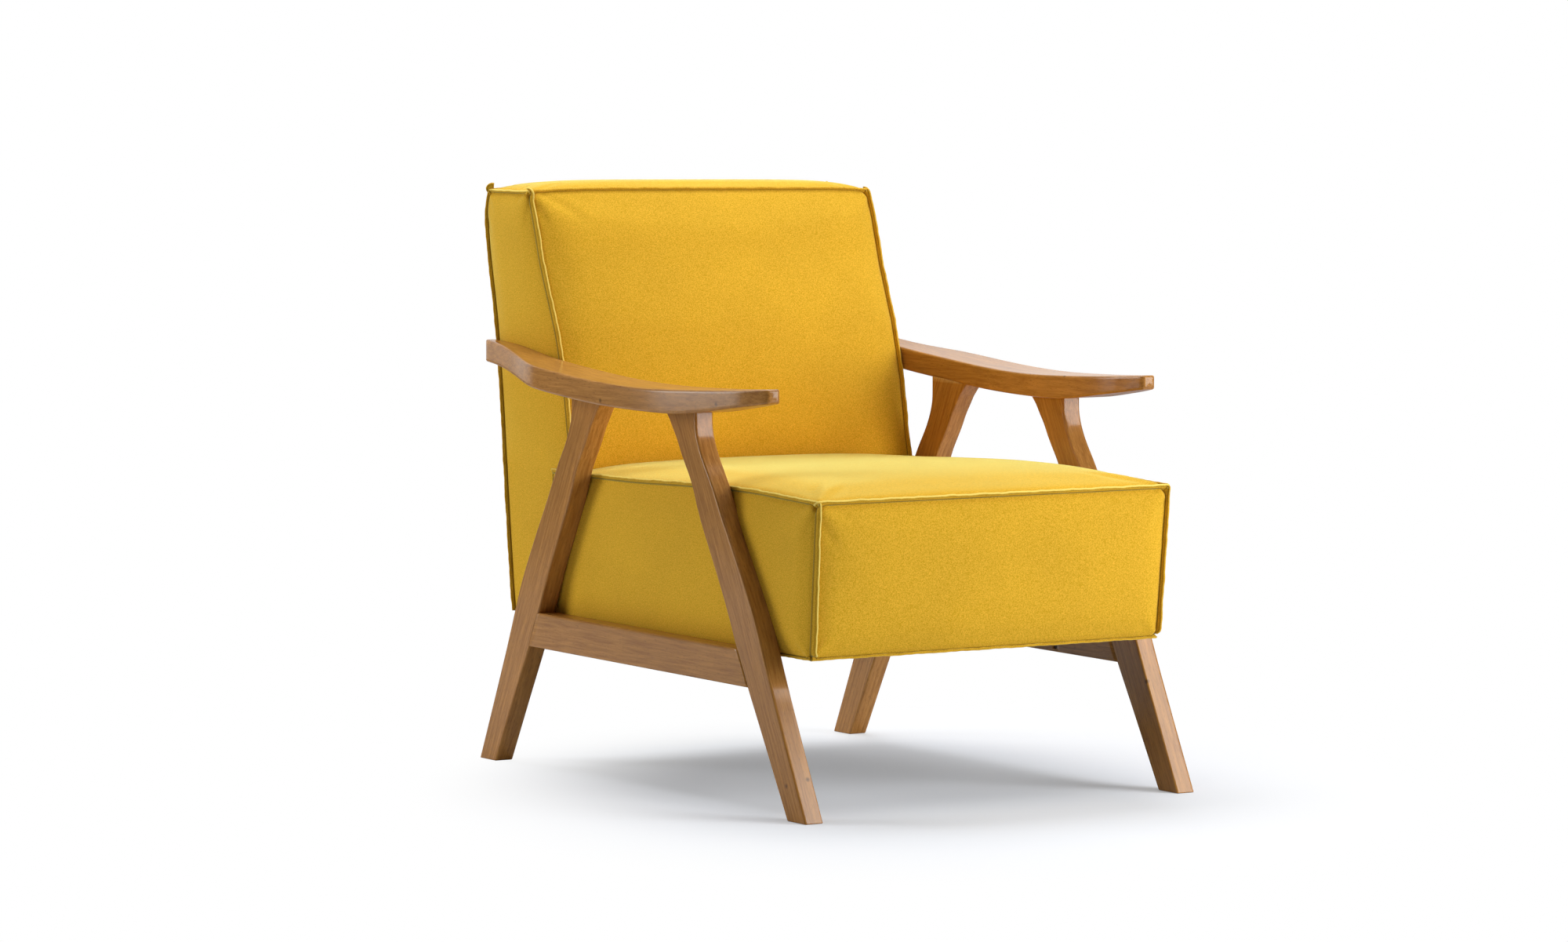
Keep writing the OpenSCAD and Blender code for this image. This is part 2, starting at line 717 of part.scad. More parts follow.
// Across the back: upright sides and a crowned top, seen along the top
function back_front_outline(g) = inset(concat([[seam_x, -back_z]],
    swell([seam_x, 0], [-seam_x, 0], top_crown, 12), [[-seam_x, -back_z]]), g);

module back_block(g) difference() {
    intersection() {
        side_plate(-leg_in, leg_in) polygon(back_side_outline(g));
        translate([0, top_front_y, back_z])
            rotate([atan2(back_top_rise, back_top_d), 0, 0])
                front_plate(-back_z, back_z) polygon(back_front_outline(g));
        bowed_front(g);
    }
    seat_block(-seat_gap - g);
}

// The bowed front, drawn along each straight length of the front seam
module bowed_front(g) intersection_for (i = [1:len(seam_points) - 1])
    let (a = seam_points[i - 1], d = seam_points[i] - a)
        translate([0, a.x, a.y]) rotate([-atan2(d.x, d.y), 0, 0])
            translate([0, 0, -back_z])
                linear_extrude(2 * back_z)
                    polygon(bowed_plan(back_crown, g));

function rear_at(z) = rear_foot_y
    + rear_run * (z - seat_bot) / (shoulder_z - seat_bot);
function stile_rear(z) = rear_at(z) - liner_gap;
function stile_front(z) = stile_rear(z) - stile_d;

notch_low = seat_z - 20;
notch_high = seat_z + 30;
stile_taper = 12;
strap_t = 1.2;
pad_gap = strap_t + 2 * seat_gap;

// The stiles' front edge, from their foot to their top
stile_front_line = [[back_bot_y, board_bot], [back_bot_y, notch_low],
    [stile_front(notch_high), notch_high],
    [stile_front(stile_top) + stile_taper, stile_top]];

module back_stile() difference() {
    side_plate(stile_in, board_out) polygon(concat(turned(stile_front_line),
        [[stile_rear(board_bot), board_bot],
            [stile_rear(stile_top), stile_top]]));
    bolt_holes([stile_bolt_at], stile_in - 1, board_out + 1);
}

module back_left_stile() color(pale_wood) place() back_stile();
module back_right_stile() color(pale_wood) place() sided(-1) back_stile();

function line_y(z) =
    lookup(z, [for (i = [1:3]) [stile_front_line[i].y, stile_front_line[i].x]]);

module back_top_board() color(pale_wood) place() side_plate(-stile_in, stile_in)
    let (z = stile_top - board_t) polygon([[line_y(z), z], [stile_rear(z), z],
        [stile_rear(stile_top), stile_top], [line_y(stile_top), stile_top]]);

bottom_board_h = 110;

module back_bottom_board() color(pale_wood) place() difference() {
    block([-stile_in, back_bot_y, board_bot],
        [stile_in, back_bot_y + board_t, board_bot + bottom_board_h]);
    back_bolt_holes(back_bot_y - 1, back_bot_y + board_t + 1);
}

lumbar_h = 50;

// A strip along the stiles' front edge from z0 to z1, between two depths
module strip(z0, z1, d0, d1) polygon([[line_y(z0) + d0, z0],
    [line_y(z0) + d1, z0], [line_y(z1) + d1, z1], [line_y(z1) + d0, z1]]);

module back_lumbar_board() color(pale_wood) place()
    side_plate(-stile_in, stile_in)
        strip(notch_high, notch_high + lumbar_h, 0, board_t);

strap_low = notch_high + lumbar_h + 10;
strap_step = (stile_top - strap_low) / straps;
strap_w = 0.7 * strap_step;

module back_straps() color(black_cloth) place()
    side_plate(-board_out, board_out) for (i = [0:straps - 1])
        let (z = strap_low + (i + 0.5) * strap_step)
            strip(z - strap_w / 2, z + strap_w / 2, -strap_t - 0.1, -0.1);

top_pad_y = line_y(stile_top);

module back_foam() color(foam_colour) place() intersection() {
    back_block(inner_t);
    side_plate(-frame_w, frame_w) polygon(concat(
        [[seat_front, notch_low - margin]],
        [for (i = [1:3]) stile_front_line[i] - [pad_gap, 0]],
        [[top_pad_y - pad_gap, rear_top_z + margin],
            [seat_front, rear_top_z + margin]]));
}

module back_side_padding() difference() {
    intersection() {
        back_block(inner_t);
        side_plate(board_out + seat_gap, frame_w) polygon(concat(
            turned(stile_front_line),
            [[shoulder_y + margin, board_bot],
                [shoulder_y + margin, stile_top]]));
    }
    bolt_holes([stile_bolt_at], board_out, leg_in, bolt_d / 2 + 1);
}

module back_left_padding() color(foam_colour) place() back_side_padding();
module back_right_padding() color(foam_colour) place() sided(-1)
    back_side_padding();

module back_top_padding() color(foam_colour) place() intersection() {
    back_block(inner_t);
    block([-frame_w, top_pad_y, stile_top + seat_gap],
        [frame_w, shoulder_y + margin, rear_top_z + margin]);
}

module back_liner() color(liner_brown) place() side_plate(-board_out, board_out)
    polygon([for (q = [[seat_gap, board_bot], [seat_gap + liner_t, board_bot],
            [seat_gap + liner_t, stile_top], [seat_gap, stile_top]])
        [stile_rear(q.y) + q.x, q.y]]);

module back_cover() color(fabric) place() difference() {
    back_block(0);
    back_block(cover_t);
    block([hem - board_out, back_bot_y - 1, seat_bot - 1],
        [board_out - hem, rear_foot_y - hem, board_bot]);
    block([-board_out - seat_gap, back_bot_y - 1, seat_bot + cover_t],
        [board_out + seat_gap, back_bot_y + 2 * cover_t, notch_low + 3]);
    for (side = [-1, 1]) sided(side)
        bolt_holes([stile_bolt_at], board_out, leg_in, bolt_d / 2 + 1);
}

// The side seam as a loop, pushed out to the middle of the welt
welt_loop = inset(concat([[rear_foot_y, seat_bot], [shoulder_y, shoulder_z],
    [top_rear_y, rear_top_z], [top_front_y, back_z]],
    [for (i = [len(seam_points) - 2:-1:0]) seam_points[i]],
    [[back_front, seat_bot]]), -welt_up);
welt_side_run = concat([[rear_foot_y + welt_up, seat_bot]],
    [for (i = [1:len(welt_loop) - 3]) welt_loop[i]],
    [[back_front - welt_up, back_foot_z + welt_up]]);

module back_welt() color(fabric) place() {
    pair(welt_x) rotate([90, 0, 90]) flat_cord(welt_side_run, welt_r);
    cross = welt_x - welt_r - seat_gap / 3;
    for (q = [welt_side_run[2], welt_side_run[3]])
        rod_x(-cross, cross, q.x, q.y, welt_r);
}

// --- underside ----------------------------------------------------------

dust_t = 1;
dust_inset = 12;

module dust_cover() color(black_cloth) place() let (z = seat_bot - seat_gap)
    block([dust_inset - seam_x, seat_front + seat_lean + dust_inset, z - dust_t],
        [seam_x - dust_inset, rear_foot_y - dust_inset, z]);

left_front_leg();
left_rear_leg();
left_side_rail();
left_arm();
right_front_leg();
right_rear_leg();
right_side_rail();
right_arm();
rail_dowels();
arm_dowels();
rail_plugs();
threaded_inserts();
frame_bolts();
bolt_washers();
seat_left_board();
seat_right_board();
seat_front_board();
seat_rear_board();
seat_corner_blocks();
seat_springs();
spring_clips();
spring_felt();
seat_foam();
seat_front_padding();
seat_left_padding();
seat_right_padding();
seat_cover();
seat_welt();
back_left_stile();
back_right_stile();
back_top_board();
back_bottom_board();
back_lumbar_board();
back_straps();
back_foam();
back_left_padding();
back_right_padding();
back_top_padding();
back_liner();
back_cover();
back_welt();
back_bolts();
back_nuts();
dust_cover();
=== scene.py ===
import json
import math
from itertools import product

import bpy
import numpy as np
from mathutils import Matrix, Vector


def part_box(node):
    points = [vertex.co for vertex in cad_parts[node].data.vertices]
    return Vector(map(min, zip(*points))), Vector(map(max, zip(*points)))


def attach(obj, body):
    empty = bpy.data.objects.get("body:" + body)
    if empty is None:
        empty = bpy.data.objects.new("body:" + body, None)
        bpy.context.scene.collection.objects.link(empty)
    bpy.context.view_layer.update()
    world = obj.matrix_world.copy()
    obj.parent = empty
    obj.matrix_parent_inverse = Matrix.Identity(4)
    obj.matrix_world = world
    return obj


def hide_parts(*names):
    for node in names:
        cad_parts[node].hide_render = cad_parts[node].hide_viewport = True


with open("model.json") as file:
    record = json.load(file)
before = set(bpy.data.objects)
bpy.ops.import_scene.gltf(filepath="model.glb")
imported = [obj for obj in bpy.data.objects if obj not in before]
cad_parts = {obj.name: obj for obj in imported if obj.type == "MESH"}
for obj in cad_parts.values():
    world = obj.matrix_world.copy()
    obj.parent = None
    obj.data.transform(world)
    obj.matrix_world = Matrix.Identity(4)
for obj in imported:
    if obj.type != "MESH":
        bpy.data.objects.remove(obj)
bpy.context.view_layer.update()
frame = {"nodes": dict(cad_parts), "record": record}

bl_info = {
    "name": "Upholstered armchair",
    "version": (1, 0, 0),
    "blender": (4, 5, 0),
    "location": "3D View > Sidebar > Armchair",
    "description": "Dresses a wooden armchair with a sprung seat and back",
    "category": "Object",
}

BODY = "root"

# Every upholstery point below is in millimetres, with Y from the middle
# between the front toe and the rear heel of the side frames.
FOOT_MIDDLE = (
    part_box("left_front_leg")[0].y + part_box("left_rear_leg")[1].y
) / 2


# --- sizes and colours a user may change ---------------------------------


class CoverSizes(bpy.types.PropertyGroup):
    """Sizes of the sewn cover"""

    fin: bpy.props.FloatProperty(
        name="Seam allowance", unit="LENGTH",
        description="How far the sewn flange stands off the cushion",
        default=0.0064, min=0.003, max=0.01)
    fin_thickness: bpy.props.FloatProperty(
        name="Flange thickness", unit="LENGTH",
        description="Thickness of the two folded layers of cloth",
        default=0.0030, min=0.0015, max=0.005)
    colour: bpy.props.FloatVectorProperty(
        name="Cover colour", subtype="COLOR_GAMMA", size=3,
        description="Dyed colour of the velour, sRGB",
        default=(0.885, 0.680, 0.076), min=0, max=1)
    thread: bpy.props.FloatProperty(
        name="Thread spacing", unit="LENGTH",
        description="Distance between threads of the cover's weave",
        default=0.0011, min=0.0004, max=0.003)


class WoodSizes(bpy.types.PropertyGroup):
    """Sizes and stain of the side frames"""

    edge: bpy.props.FloatProperty(
        name="Edge radius", unit="LENGTH",
        description="Radius sanded on the long edges",
        default=0.0024, min=0.001, max=0.006)
    stain: bpy.props.FloatVectorProperty(
        name="Stain", subtype="COLOR_GAMMA", size=3,
        description="Colour of the stained beech, sRGB",
        default=(0.700, 0.490, 0.240), min=0, max=1)


class StageSizes(bpy.types.PropertyGroup):
    """Light level and camera"""

    lens: bpy.props.FloatProperty(
        name="Lens", unit="CAMERA",
        description="Focal length of the camera",
        default=136.84, min=20, max=300)
    light: bpy.props.FloatProperty(
        name="Light level", subtype="FACTOR",
        description="Strength of all the lamps together",
        default=1.0, min=0, max=4)


# --- small helpers -------------------------------------------------------

X, Y, Z = 0, 1, 2


def linear(colour):
    """sRGB hex or three values to linear RGBA"""
    if isinstance(colour, str):
        colour = [int(colour[i : i + 2], 16) / 255 for i in (1, 3, 5)]
    return tuple(
        c / 12.92 if c <= 0.04045 else ((c + 0.055) / 1.055) ** 2.4
        for c in colour
    ) + (1.0,)


def toned(base, by, lift=0.0):
    """A linear colour times one factor, or times one for each channel"""
    return tuple(min(c * k + lift, 1)
        for c, k in zip(base, np.ones(3) * by)) + (1,)


def to_frame(points):
    """Millimetres from the middle of the feet to metres in the frame"""
    return np.asarray(points, float) / 1000 + (0, FOOT_MIDDLE, 0)


def unit(v):
    return v / np.maximum(np.linalg.norm(v, axis=-1, keepdims=True), 1e-9)


def coordinates(mesh):
    """The points of a mesh as rows of x, y and z"""
    points = np.empty(len(mesh.vertices) * 3)
    mesh.vertices.foreach_get("co", points)
    return points.reshape(-1, 3)


def add_layer(mesh, label, values):
    """Stores a number or a vector for each point of a mesh"""
    values = np.asarray(values, np.float32)
    kind, field = (("FLOAT_VECTOR", "vector") if values.ndim == 2
        else ("FLOAT", "value"))
    layer = mesh.attributes.new(label, kind, "POINT")
    layer.data.foreach_set(field, values.ravel())


def place_object(name, data):
    made = bpy.data.objects.new(name, data)
    bpy.context.scene.collection.objects.link(made)
    return made


def make_piece(name, points, faces, material, replaces=(), layers=None):
    """Adds a mesh in the frame's metres, rides it and gives it its material"""
    mesh = bpy.data.meshes.new(name)
    mesh.from_pydata(np.asarray(points).tolist(), [], faces)
    mesh.validate()
    for label, values in (layers or {}).items():
        add_layer(mesh, label, values)
    mesh.shade_smooth()
    piece = place_object(name, mesh)
    mesh.materials.append(material)
    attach(piece, BODY)
    if replaces:
        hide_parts(*replaces)
    return piece


def quads(ids):
    """Faces between the rows and columns of a grid of point numbers"""
    return np.stack([ids[:-1, :-1], ids[1:, :-1], ids[1:, 1:],
        ids[:-1, 1:]], -1).reshape(-1, 4).tolist()


# --- materials -----------------------------------------------------------


def wire(tree, kind, inputs=None, **settings):
    """Adds a node with its settings, and links or sets its inputs"""
    made = tree.nodes.new("ShaderNode" + kind)
    for key, value in settings.items():
        setattr(made, key, value)
    for socket, value in (inputs or {}).items():
        if isinstance(value, bpy.types.NodeSocket):
            tree.links.new(value, made.inputs[socket])
        else:
            made.inputs[socket].default_value = value
    return made


def stored(tree, name):
    """What a mesh stores for each point under a name"""
    return wire(tree, "Attribute", attribute_name=name).outputs


def stretched(tree, vector, by):
    return wire(tree, "VectorMath", {0: vector, 1: by},
        operation="MULTIPLY").outputs[0]


def dimmed(tree, colour, by):
    return wire(tree, "VectorMath", {0: colour, "Scale": by},
        operation="SCALE").outputs[0]


def maths(tree, how, a, b):
    return wire(tree, "Math", {0: a, 1: b}, operation=how).outputs[0]


def noise(tree, at, scale, detail, rough=0.5, warp=0.0):
    return wire(tree, "TexNoise", {"Vector": at, "Scale": scale,
        "Detail": detail, "Roughness": rough,
        "Distortion": warp}).outputs["Fac"]


def cells(tree, at, scale, random=1.0):
    """Distance to the nearest of scattered points"""
    return wire(tree, "TexVoronoi", {"Vector": at, "Scale": scale,
        "Randomness": random}, voronoi_dimensions="2D").outputs["Distance"]


def remap(tree, value, low, high, to_low=0.0, to_high=1.0, **settings):
    return wire(tree, "MapRange", {"Value": value, "From Min": low,
        "From Max": high, "To Min": to_low, "To Max": to_high},
        **settings).outputs[0]


def two_tone(tree, value, *stops):
    """A colour ramp between two stops, each a position and a colour"""
    made = wire(tree, "ValToRGB", {0: value})
    for element, (place, colour) in zip(made.color_ramp.elements, stops):
        element.position, element.color = place, colour
    return made.outputs[0]


def mixed(tree, share, a, b):
    return wire(tree, "Mix", {0: share, 6: a, 7: b},
        data_type="RGBA").outputs[2]


def bumped(tree, height, strength, distance):
    return wire(tree, "Bump", {"Height": height, "Strength": strength,
        "Distance": distance}).outputs[0]


def emptied(owner):
    """A material or a world with its node tree, ready to be filled"""
    owner.use_nodes = True
    owner.node_tree.nodes.clear()
    return owner, owner.node_tree


def velour(name, colour, thread):
    """Woven polyester velour, dyed. The short pile scatters light at a
    grazing view, and the weave under it shows as a fine grain. Its threads
    are drawn about twice as far apart as they are, so that they show."""
    material, tree = emptied(bpy.data.materials.new(name))
    place = stored(tree, "cloth")["Vector"]
    fold = stored(tree, "fold")["Fac"]
    weave = stretched(tree, place, (1 / thread, 1 / thread, 1))
    cell = cells(tree, weave, 1.0, 0.75)
    grain = noise(tree, weave, 0.8, 4.0, 0.72)
    cloud = noise(tree, place, 9.0, 3.0)
    base = linear(colour)
    speck = two_tone(tree, grain, (0.34, toned(base, 0.73)),
        (0.68, toned(base, 1.16, 0.045)))
    tone = dimmed(tree, speck, remap(tree, cloud, 0.3, 0.7, 0.955, 1.035))
    # Painted shade in the stitched grooves and pleat troughs, down to 0.40,
    # then a painted pale lemon highlight on the flanges' folded edges, both
    # read from the fold layer
    tone_with_painted_shade = dimmed(tree, tone, remap(tree, fold, -1.0, 0.0, 0.40, 1.0))
    cover = mixed(tree, remap(tree, fold, 0.0, 1.0, 0.0, 0.75), tone_with_painted_shade,
        linear("#FFEB82"))
    shader = wire(tree, "BsdfPrincipled", {
        "Base Color": cover, "Roughness": 0.82, "IOR": 1.46,
        "Specular IOR Level": 0.08, "Sheen Weight": 1.0,
        "Sheen Roughness": 0.30, "Sheen Tint": linear("#E8F5A0"),
        "Normal": bumped(tree, maths(tree, "ADD", cell, grain), 0.22,
            0.0005)})
    wire(tree, "OutputMaterial", {0: shader.outputs[0]})
    return material


def stained_beech(name, colour):
    """Solid beech, sanded, wiped with walnut stain and satin lacquer. The
    stain gathers in the short pores and streaks along the grain."""
    material, tree = emptied(bpy.data.materials.new(name))
    place = stored(tree, "grain")["Vector"]
    # streaks 70 by 4 mm, rings 700 by 36 mm; the pores, 9 by 1 mm, are
    # drawn several times coarser than in beech, so that they show
    streak, fleck, ring = (
        noise(tree, stretched(tree, place, by), 1.0, *how)
        for by, *how in (((14, 260, 260), 5.0, 0.62, 0.4),
            ((110, 900, 900), 1.0), ((1.4, 28, 28), 2.0)))
    base = linear(colour)
    tone = two_tone(tree, streak, (0.34, toned(base, (0.74, 0.68, 0.62))),
        (0.68, toned(base, (1.14, 1.16, 1.18))))
    wood = dimmed(tree, tone, remap(tree, ring, 0.3, 0.7, 0.90, 1.08))
    pore = remap(tree, fleck, 0.60, 0.74, 0.0, 0.6)
    stained = mixed(tree, pore, wood, toned(base, 0.45))
    # Pin knots, some 5 mm across and a hand's width apart
    split = wire(tree, "SeparateXYZ", {0: place}).outputs
    girth = maths(tree, "ADD", split[1], split[2])
    flat = wire(tree, "CombineXYZ", {0: split[0], 1: girth}).outputs[0]
    knot = remap(tree, cells(tree, flat, 7.5), 0.008, 0.03, 0.75, 0.0)
    height = maths(tree, "SUBTRACT", streak, pore)
    shader = wire(tree, "BsdfPrincipled", {
        "Base Color": mixed(tree, knot, stained, toned(base, 0.22)),
        "Roughness": remap(tree, streak, 0.0, 1.0, 0.36, 0.52),
        "IOR": 1.5, "Specular IOR Level": 0.05, "Coat Weight": 0.6,
        "Coat Roughness": 0.14,
        "Normal": bumped(tree, height, 0.10, 0.0004)})
    wire(tree, "OutputMaterial", {0: shader.outputs[0]})
    return material


def speckled(name, light, dark, scale, rough, metal=0.0, bump=0.1, ior=1.5,
        stretch=(1, 1, 1)):
    """A hidden part's finish: two tones of its colour in its own grain"""
    material, tree = emptied(bpy.data.materials.new(name))
    place = wire(tree, "TexCoord").outputs["Object"]
    grain = noise(tree, stretched(tree, place, stretch), scale, 4.0)
    sockets = {
        "Base Color": mixed(tree, grain, linear(dark), linear(light)),
        "Roughness": rough, "Metallic": metal,
        "Normal": bumped(tree, grain, bump, 0.0006)}
    if not metal:
        sockets["IOR"] = ior
    shader = wire(tree, "BsdfPrincipled", sockets)
    wire(tree, "OutputMaterial", {0: shader.outputs[0]})
    return material


# --- the side frames -----------------------------------------------------


def node_edges(node):
    """Both ends of every edge of a CAD node's mesh"""
    mesh = frame["nodes"][node].data
    ends = np.empty(len(mesh.edges) * 2, int)
    mesh.edges.foreach_get("vertices", ends)
    return coordinates(mesh)[ends.reshape(-1, 2)]


def reach(edges, axis, at, way):
    """How low and how high those edges reach along a way, where a plane
    across the axis cuts them"""
    a, b = edges[:, 0], edges[:, 1]
    da, db = a[:, axis] - at, b[:, axis] - at
    hit = (da * db <= 0) & (da != db)
    share = da[hit] / (da[hit] - db[hit])
    cut = (a[hit] + share[:, None] * (b[hit] - a[hit]))[:, way]
    return cut.min(), cut.max()


def rounded_ring(low, high, radius):
    """Points round a rectangle with rounded corners, anticlockwise, with a
    point on each flat beside each corner so that the flat shades flat"""
    ring, steps, margin = [], 4, 0.0012
    for k, (su, sv) in enumerate(((1, 1), (-1, 1), (-1, -1), (1, -1))):
        centre = np.array([
            (high[0] if su > 0 else low[0]) - su * radius,
            (high[1] if sv > 0 else low[1]) - sv * radius])
        angles = np.radians(90 * k + np.linspace(0, 90, steps + 1))
        arc = [centre + radius * np.array([math.cos(a), math.sin(a)])
            for a in angles]
        tangent = [np.array([-math.sin(a), math.cos(a)])
            for a in (angles[0], angles[-1])]
        ring += [arc[0] - tangent[0] * margin] + arc
        ring += [arc[-1] + tangent[1] * margin]
    return np.array(ring)


def lofted(n, k):
    """Faces of a closed tube through n rings of k points, with caps"""
    faces = []
    for i in range(n - 1):
        for j in range(k):
            a, b = i * k + j, i * k + (j + 1) % k
            faces.append((a, b, b + k, a + k))
    faces.append(tuple(range(k - 1, -1, -1)))
    faces.append(tuple(range((n - 1) * k, n * k)))
    return faces


def turned(faces):
    """The same faces, looking the other way"""
    return [f[::-1] for f in faces]


# how far the foot of a leg and the two ends of an arm are rounded over
FOOT_ROUND, NOSE_ROUND, TIP_ROUND = 0.0016, 0.0042, 0.0030


def end_rounding(r):
    """Distance from an end and inset of the rings that round it over"""
    return [(r * (1 - math.sin(a)), r * (1 - math.cos(a)))
        for a in np.radians([90, 65, 42, 22, 0])]


def lay_grain(piece, places):
    """Stores where in its board each point of a piece lies: first along the
    grain. Each name starts elsewhere, so that no two boards match"""
    start = sum(map(ord, piece.name.removeprefix("dressed_"))) % 17
    add_layer(piece.data, "grain", np.array(places) + start)


def dressed(node, points, faces, material):
    """A wooden piece that stands for its node"""
    return make_piece("dressed_" + node, points, faces, material,
        [node])


def build_leg(node, material, edge, lean):
    """A leg, from its foot to just inside the underside of the arm. Its
    grain leans by lean, in Y for each Z"""
    edges = node_edges(node)
    arm = node_edges(node.split("_")[0] + "_arm")
    low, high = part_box(node)
    clear = min(reach(arm, Y, y, Z)[0]
        for y in reach(edges, Z, high.z - 0.012, Y))
    bend, skin = clear - 0.05, clear - 0.0004
    stations = end_rounding(FOOT_ROUND)
    stations += [(z, 0) for z in np.arange(0.006, bend, 0.008)]
    stations += [(z, 0) for z in np.linspace(bend, skin, 16)]
    points, grain = [], []
    along = np.array([lean, 1.0]) / math.hypot(lean, 1)
    for z, inset in stations + [(high.z + 0.001, 0)]:
        y0, y1 = reach(edges, Z, min(max(z, 0.0002), skin), Y)
        ring = rounded_ring((low.x + inset, y0 + inset),
            (high.x - inset, y1 - inset), max(edge - inset, 0.0006))
        for x, y in ring:
            h = z
            if z > clear:
                h = reach(arm, Y, y, Z)[0] + 0.0015
            points.append((x, y, h))
            across = y * along[1] - h * along[0]
            grain.append((y * along[0] + h * along[1], across, x))
    k = len(ring)
    leg = dressed(node, points, lofted(len(points) // k, k), material)
    lay_grain(leg, grain)


def build_arm(node, material, edge):
    """An arm, rounded over at its nose and at its rear tip"""
    edges = node_edges(node)
    low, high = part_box(node)
    nose = [(low.y + d, i) for d, i in end_rounding(NOSE_ROUND)]
    tail = [(high.y - d, i) for d, i in end_rounding(TIP_ROUND)][::-1]
    body = [(y, 0) for y in np.arange(low.y + 0.010, high.y - 0.008, 0.009)]
    points = []
    for y, inset in nose + body + tail:
        at = min(max(y, low.y + 0.0003), high.y - 0.0003)
        (x0, x1), (z0, z1) = (reach(edges, Y, at, way) for way in (X, Z))
        ring = rounded_ring((x0 + inset, z0 + inset * 0.8),
            (x1 - inset, z1 - inset * 0.8),
            max(edge * 1.15 - inset * 0.6, 0.0012))
        points += [(x, y, z) for x, z in ring]
    k = len(ring)
    arm = dressed(node, points, turned(lofted(len(points) // k, k)),
        material)
    lay_grain(arm, np.array(points)[:, [Y, X, Z]])


def bore(piece, at, r, depth):
    """Drills a hole along X, of one depth to each side of a point"""
    n = 24
    turn = np.linspace(0, 2 * math.pi, n + 1)[:-1]
    points = [(at[0] + x, at[1] + r * math.cos(a), at[2] + r * math.sin(a))
        for x in (-depth, depth) for a in turn]
    mesh = bpy.data.meshes.new("drill")
    mesh.from_pydata(points, [], lofted(2, n))
    drill = place_object("drill", mesh)
    cut = piece.modifiers.new("hole", "BOOLEAN")
    cut.operation, cut.solver, cut.object = "DIFFERENCE", "EXACT", drill
    view = bpy.context.evaluated_depsgraph_get()
    bored = bpy.data.meshes.new_from_object(piece.evaluated_get(view))
    piece.modifiers.clear()
    bpy.data.objects.remove(drill)
    piece.data = bored


def build_rail(node, material, edge):
    """A side rail between its two legs, with its locating hole"""
    side = node.split("_")[0]
    edges = node_edges(node)
    low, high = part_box(node)
    mid = (low.y + high.y) / 2
    x0, x1 = reach(edges, Y, mid, X)
    base, top = reach(edges, Y, mid, Z)
    slope = (reach(edges, Y, mid + 0.1, Z)[0] - base) / 0.1
    front, rear = (node_edges(side + leg)
        for leg in ("_front_leg", "_rear_leg"))
    # each end reaches past the softened edges of its leg
    bury = edge + 0.0004
    ring = rounded_ring((x0, 0), (x1, top - base), edge * 0.8)
    ends = []
    for x, h in ring:
        y0 = y1 = mid
        for _ in range(3):
            y0 = reach(front, Z, base + h + slope * (y0 - mid), Y)[1]
            y1 = reach(rear, Z, base + h + slope * (y1 - mid), Y)[0]
        ends.append((y0 - bury, y1 + bury))
    points, stations = [], np.linspace(0, 1, 60)
    for t in stations:
        for (x, h), (y0, y1) in zip(ring, ends):
            y = y0 + (y1 - y0) * t
            points.append((x, y, base + h + slope * (y - mid)))
    rail = dressed(node, points, turned(lofted(len(stations), len(ring))),
        material)
    low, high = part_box("rail_plugs")
    inner = x0 if side == "left" else x1
    bore(rail, (inner, (low.y + high.y) / 2, (low.z + high.z) / 2),
        (high.y - low.y) / 2 + 0.0003, 0.008)
    grain = coordinates(rail.data)[:, [Y, Z, X]]
    grain[:, 1] -= slope * grain[:, 0]
    lay_grain(rail, grain)


# --- sewn cushions -------------------------------------------------------

UP, DOWN, BACK, AHEAD, IN = ((0, 0, 1), (0, 0, -1), (0, 1, 0), (0, -1, 0),
    (-1, 0, 0))


def marks(length, fine=(0, 3, 6.5, 11, 17, 25, 34)):
    """Shares of a length at which a panel has points: close together near
    its seams and about 9 mm apart between them"""
    middle = length - 2 * fine[-1]
    n = max(int(round(middle / 9.0)), 2)
    run = fine[-1] + middle * np.arange(1, n) / n
    whole = list(fine) + list(run) + [length - f for f in fine[::-1]]
    return np.array(whole) / length


def from_far_end(shares):
    return 1 - shares[::-1]


def distances(line):
    """How far along a line each of its points lies"""
    steps = np.linalg.norm(np.diff(line, axis=0), axis=1)
    return np.r_[0, np.cumsum(steps)]


def points_at(at, run, line):
    """Points of a line at places along it"""
    return np.stack([np.interp(at, run, line[:, k]) for k in range(3)], 1)


def corner_drop(distance, r):
    """How far a seam has turned in at a distance from a rounded corner"""
    d = np.clip(distance, 0, r)
    return r - np.sqrt(np.maximum(r * r - (r - d) ** 2, 0))


def seam(line, shares, inward, r0=0, r1=0):
    """A seam along a line of points, with both its ends turned in. inward
    holds the two directions into the cushion, across the seam"""
    run = distances(line)
    length = run[-1]
    # what a quarter turn saves against its square corner, as share of r
    saved = 0.293
    at = saved * r0 + shares * (length - saved * (r0 + r1))
    drop = corner_drop(at, r0) + corner_drop(length - at, r1)
    return points_at(at, run, line) + drop[:, None] * (
        np.array(inward[0]) + inward[1])


def sewn_lines(rows):
    """The straight lines of the seams and the seams, both by name"""
    line = {name: points for name, points, *_ in rows}
    return line, {name: seam(*how) for name, *how in rows}


def patch(low, high, first, last, u, v):
    """Fills a panel between its seams: low and high run along u at v 0 and
    1, first and last run along v at u 0 and 1"""
    a, b = u[:, None, None], v[None, :, None]
    return ((1 - b) * low[:, None] + b * high[:, None]
        + (1 - a) * first[None] + a * last[None]
        - (1 - a) * (1 - b) * low[0] - a * (1 - b) * low[-1]
        - (1 - a) * b * high[0] - a * b * high[-1])


def panels(seams, rows):
    """Panels by name, from rows of a name, its four seams in the order of
    patch, and u and v. A minus sign turns a seam end for end"""
    return {name: patch(*(seams[edge.strip("-")][:: -1 if edge[0] == "-"
        else 1] for edge in edges.split()), u, v)
        for name, edges, u, v in rows}


def normals(grid):
    """Unit normals of a grid of points"""
    du, dv = (np.gradient(grid, axis=k) for k in (0, 1))
    return unit(np.cross(du, dv))


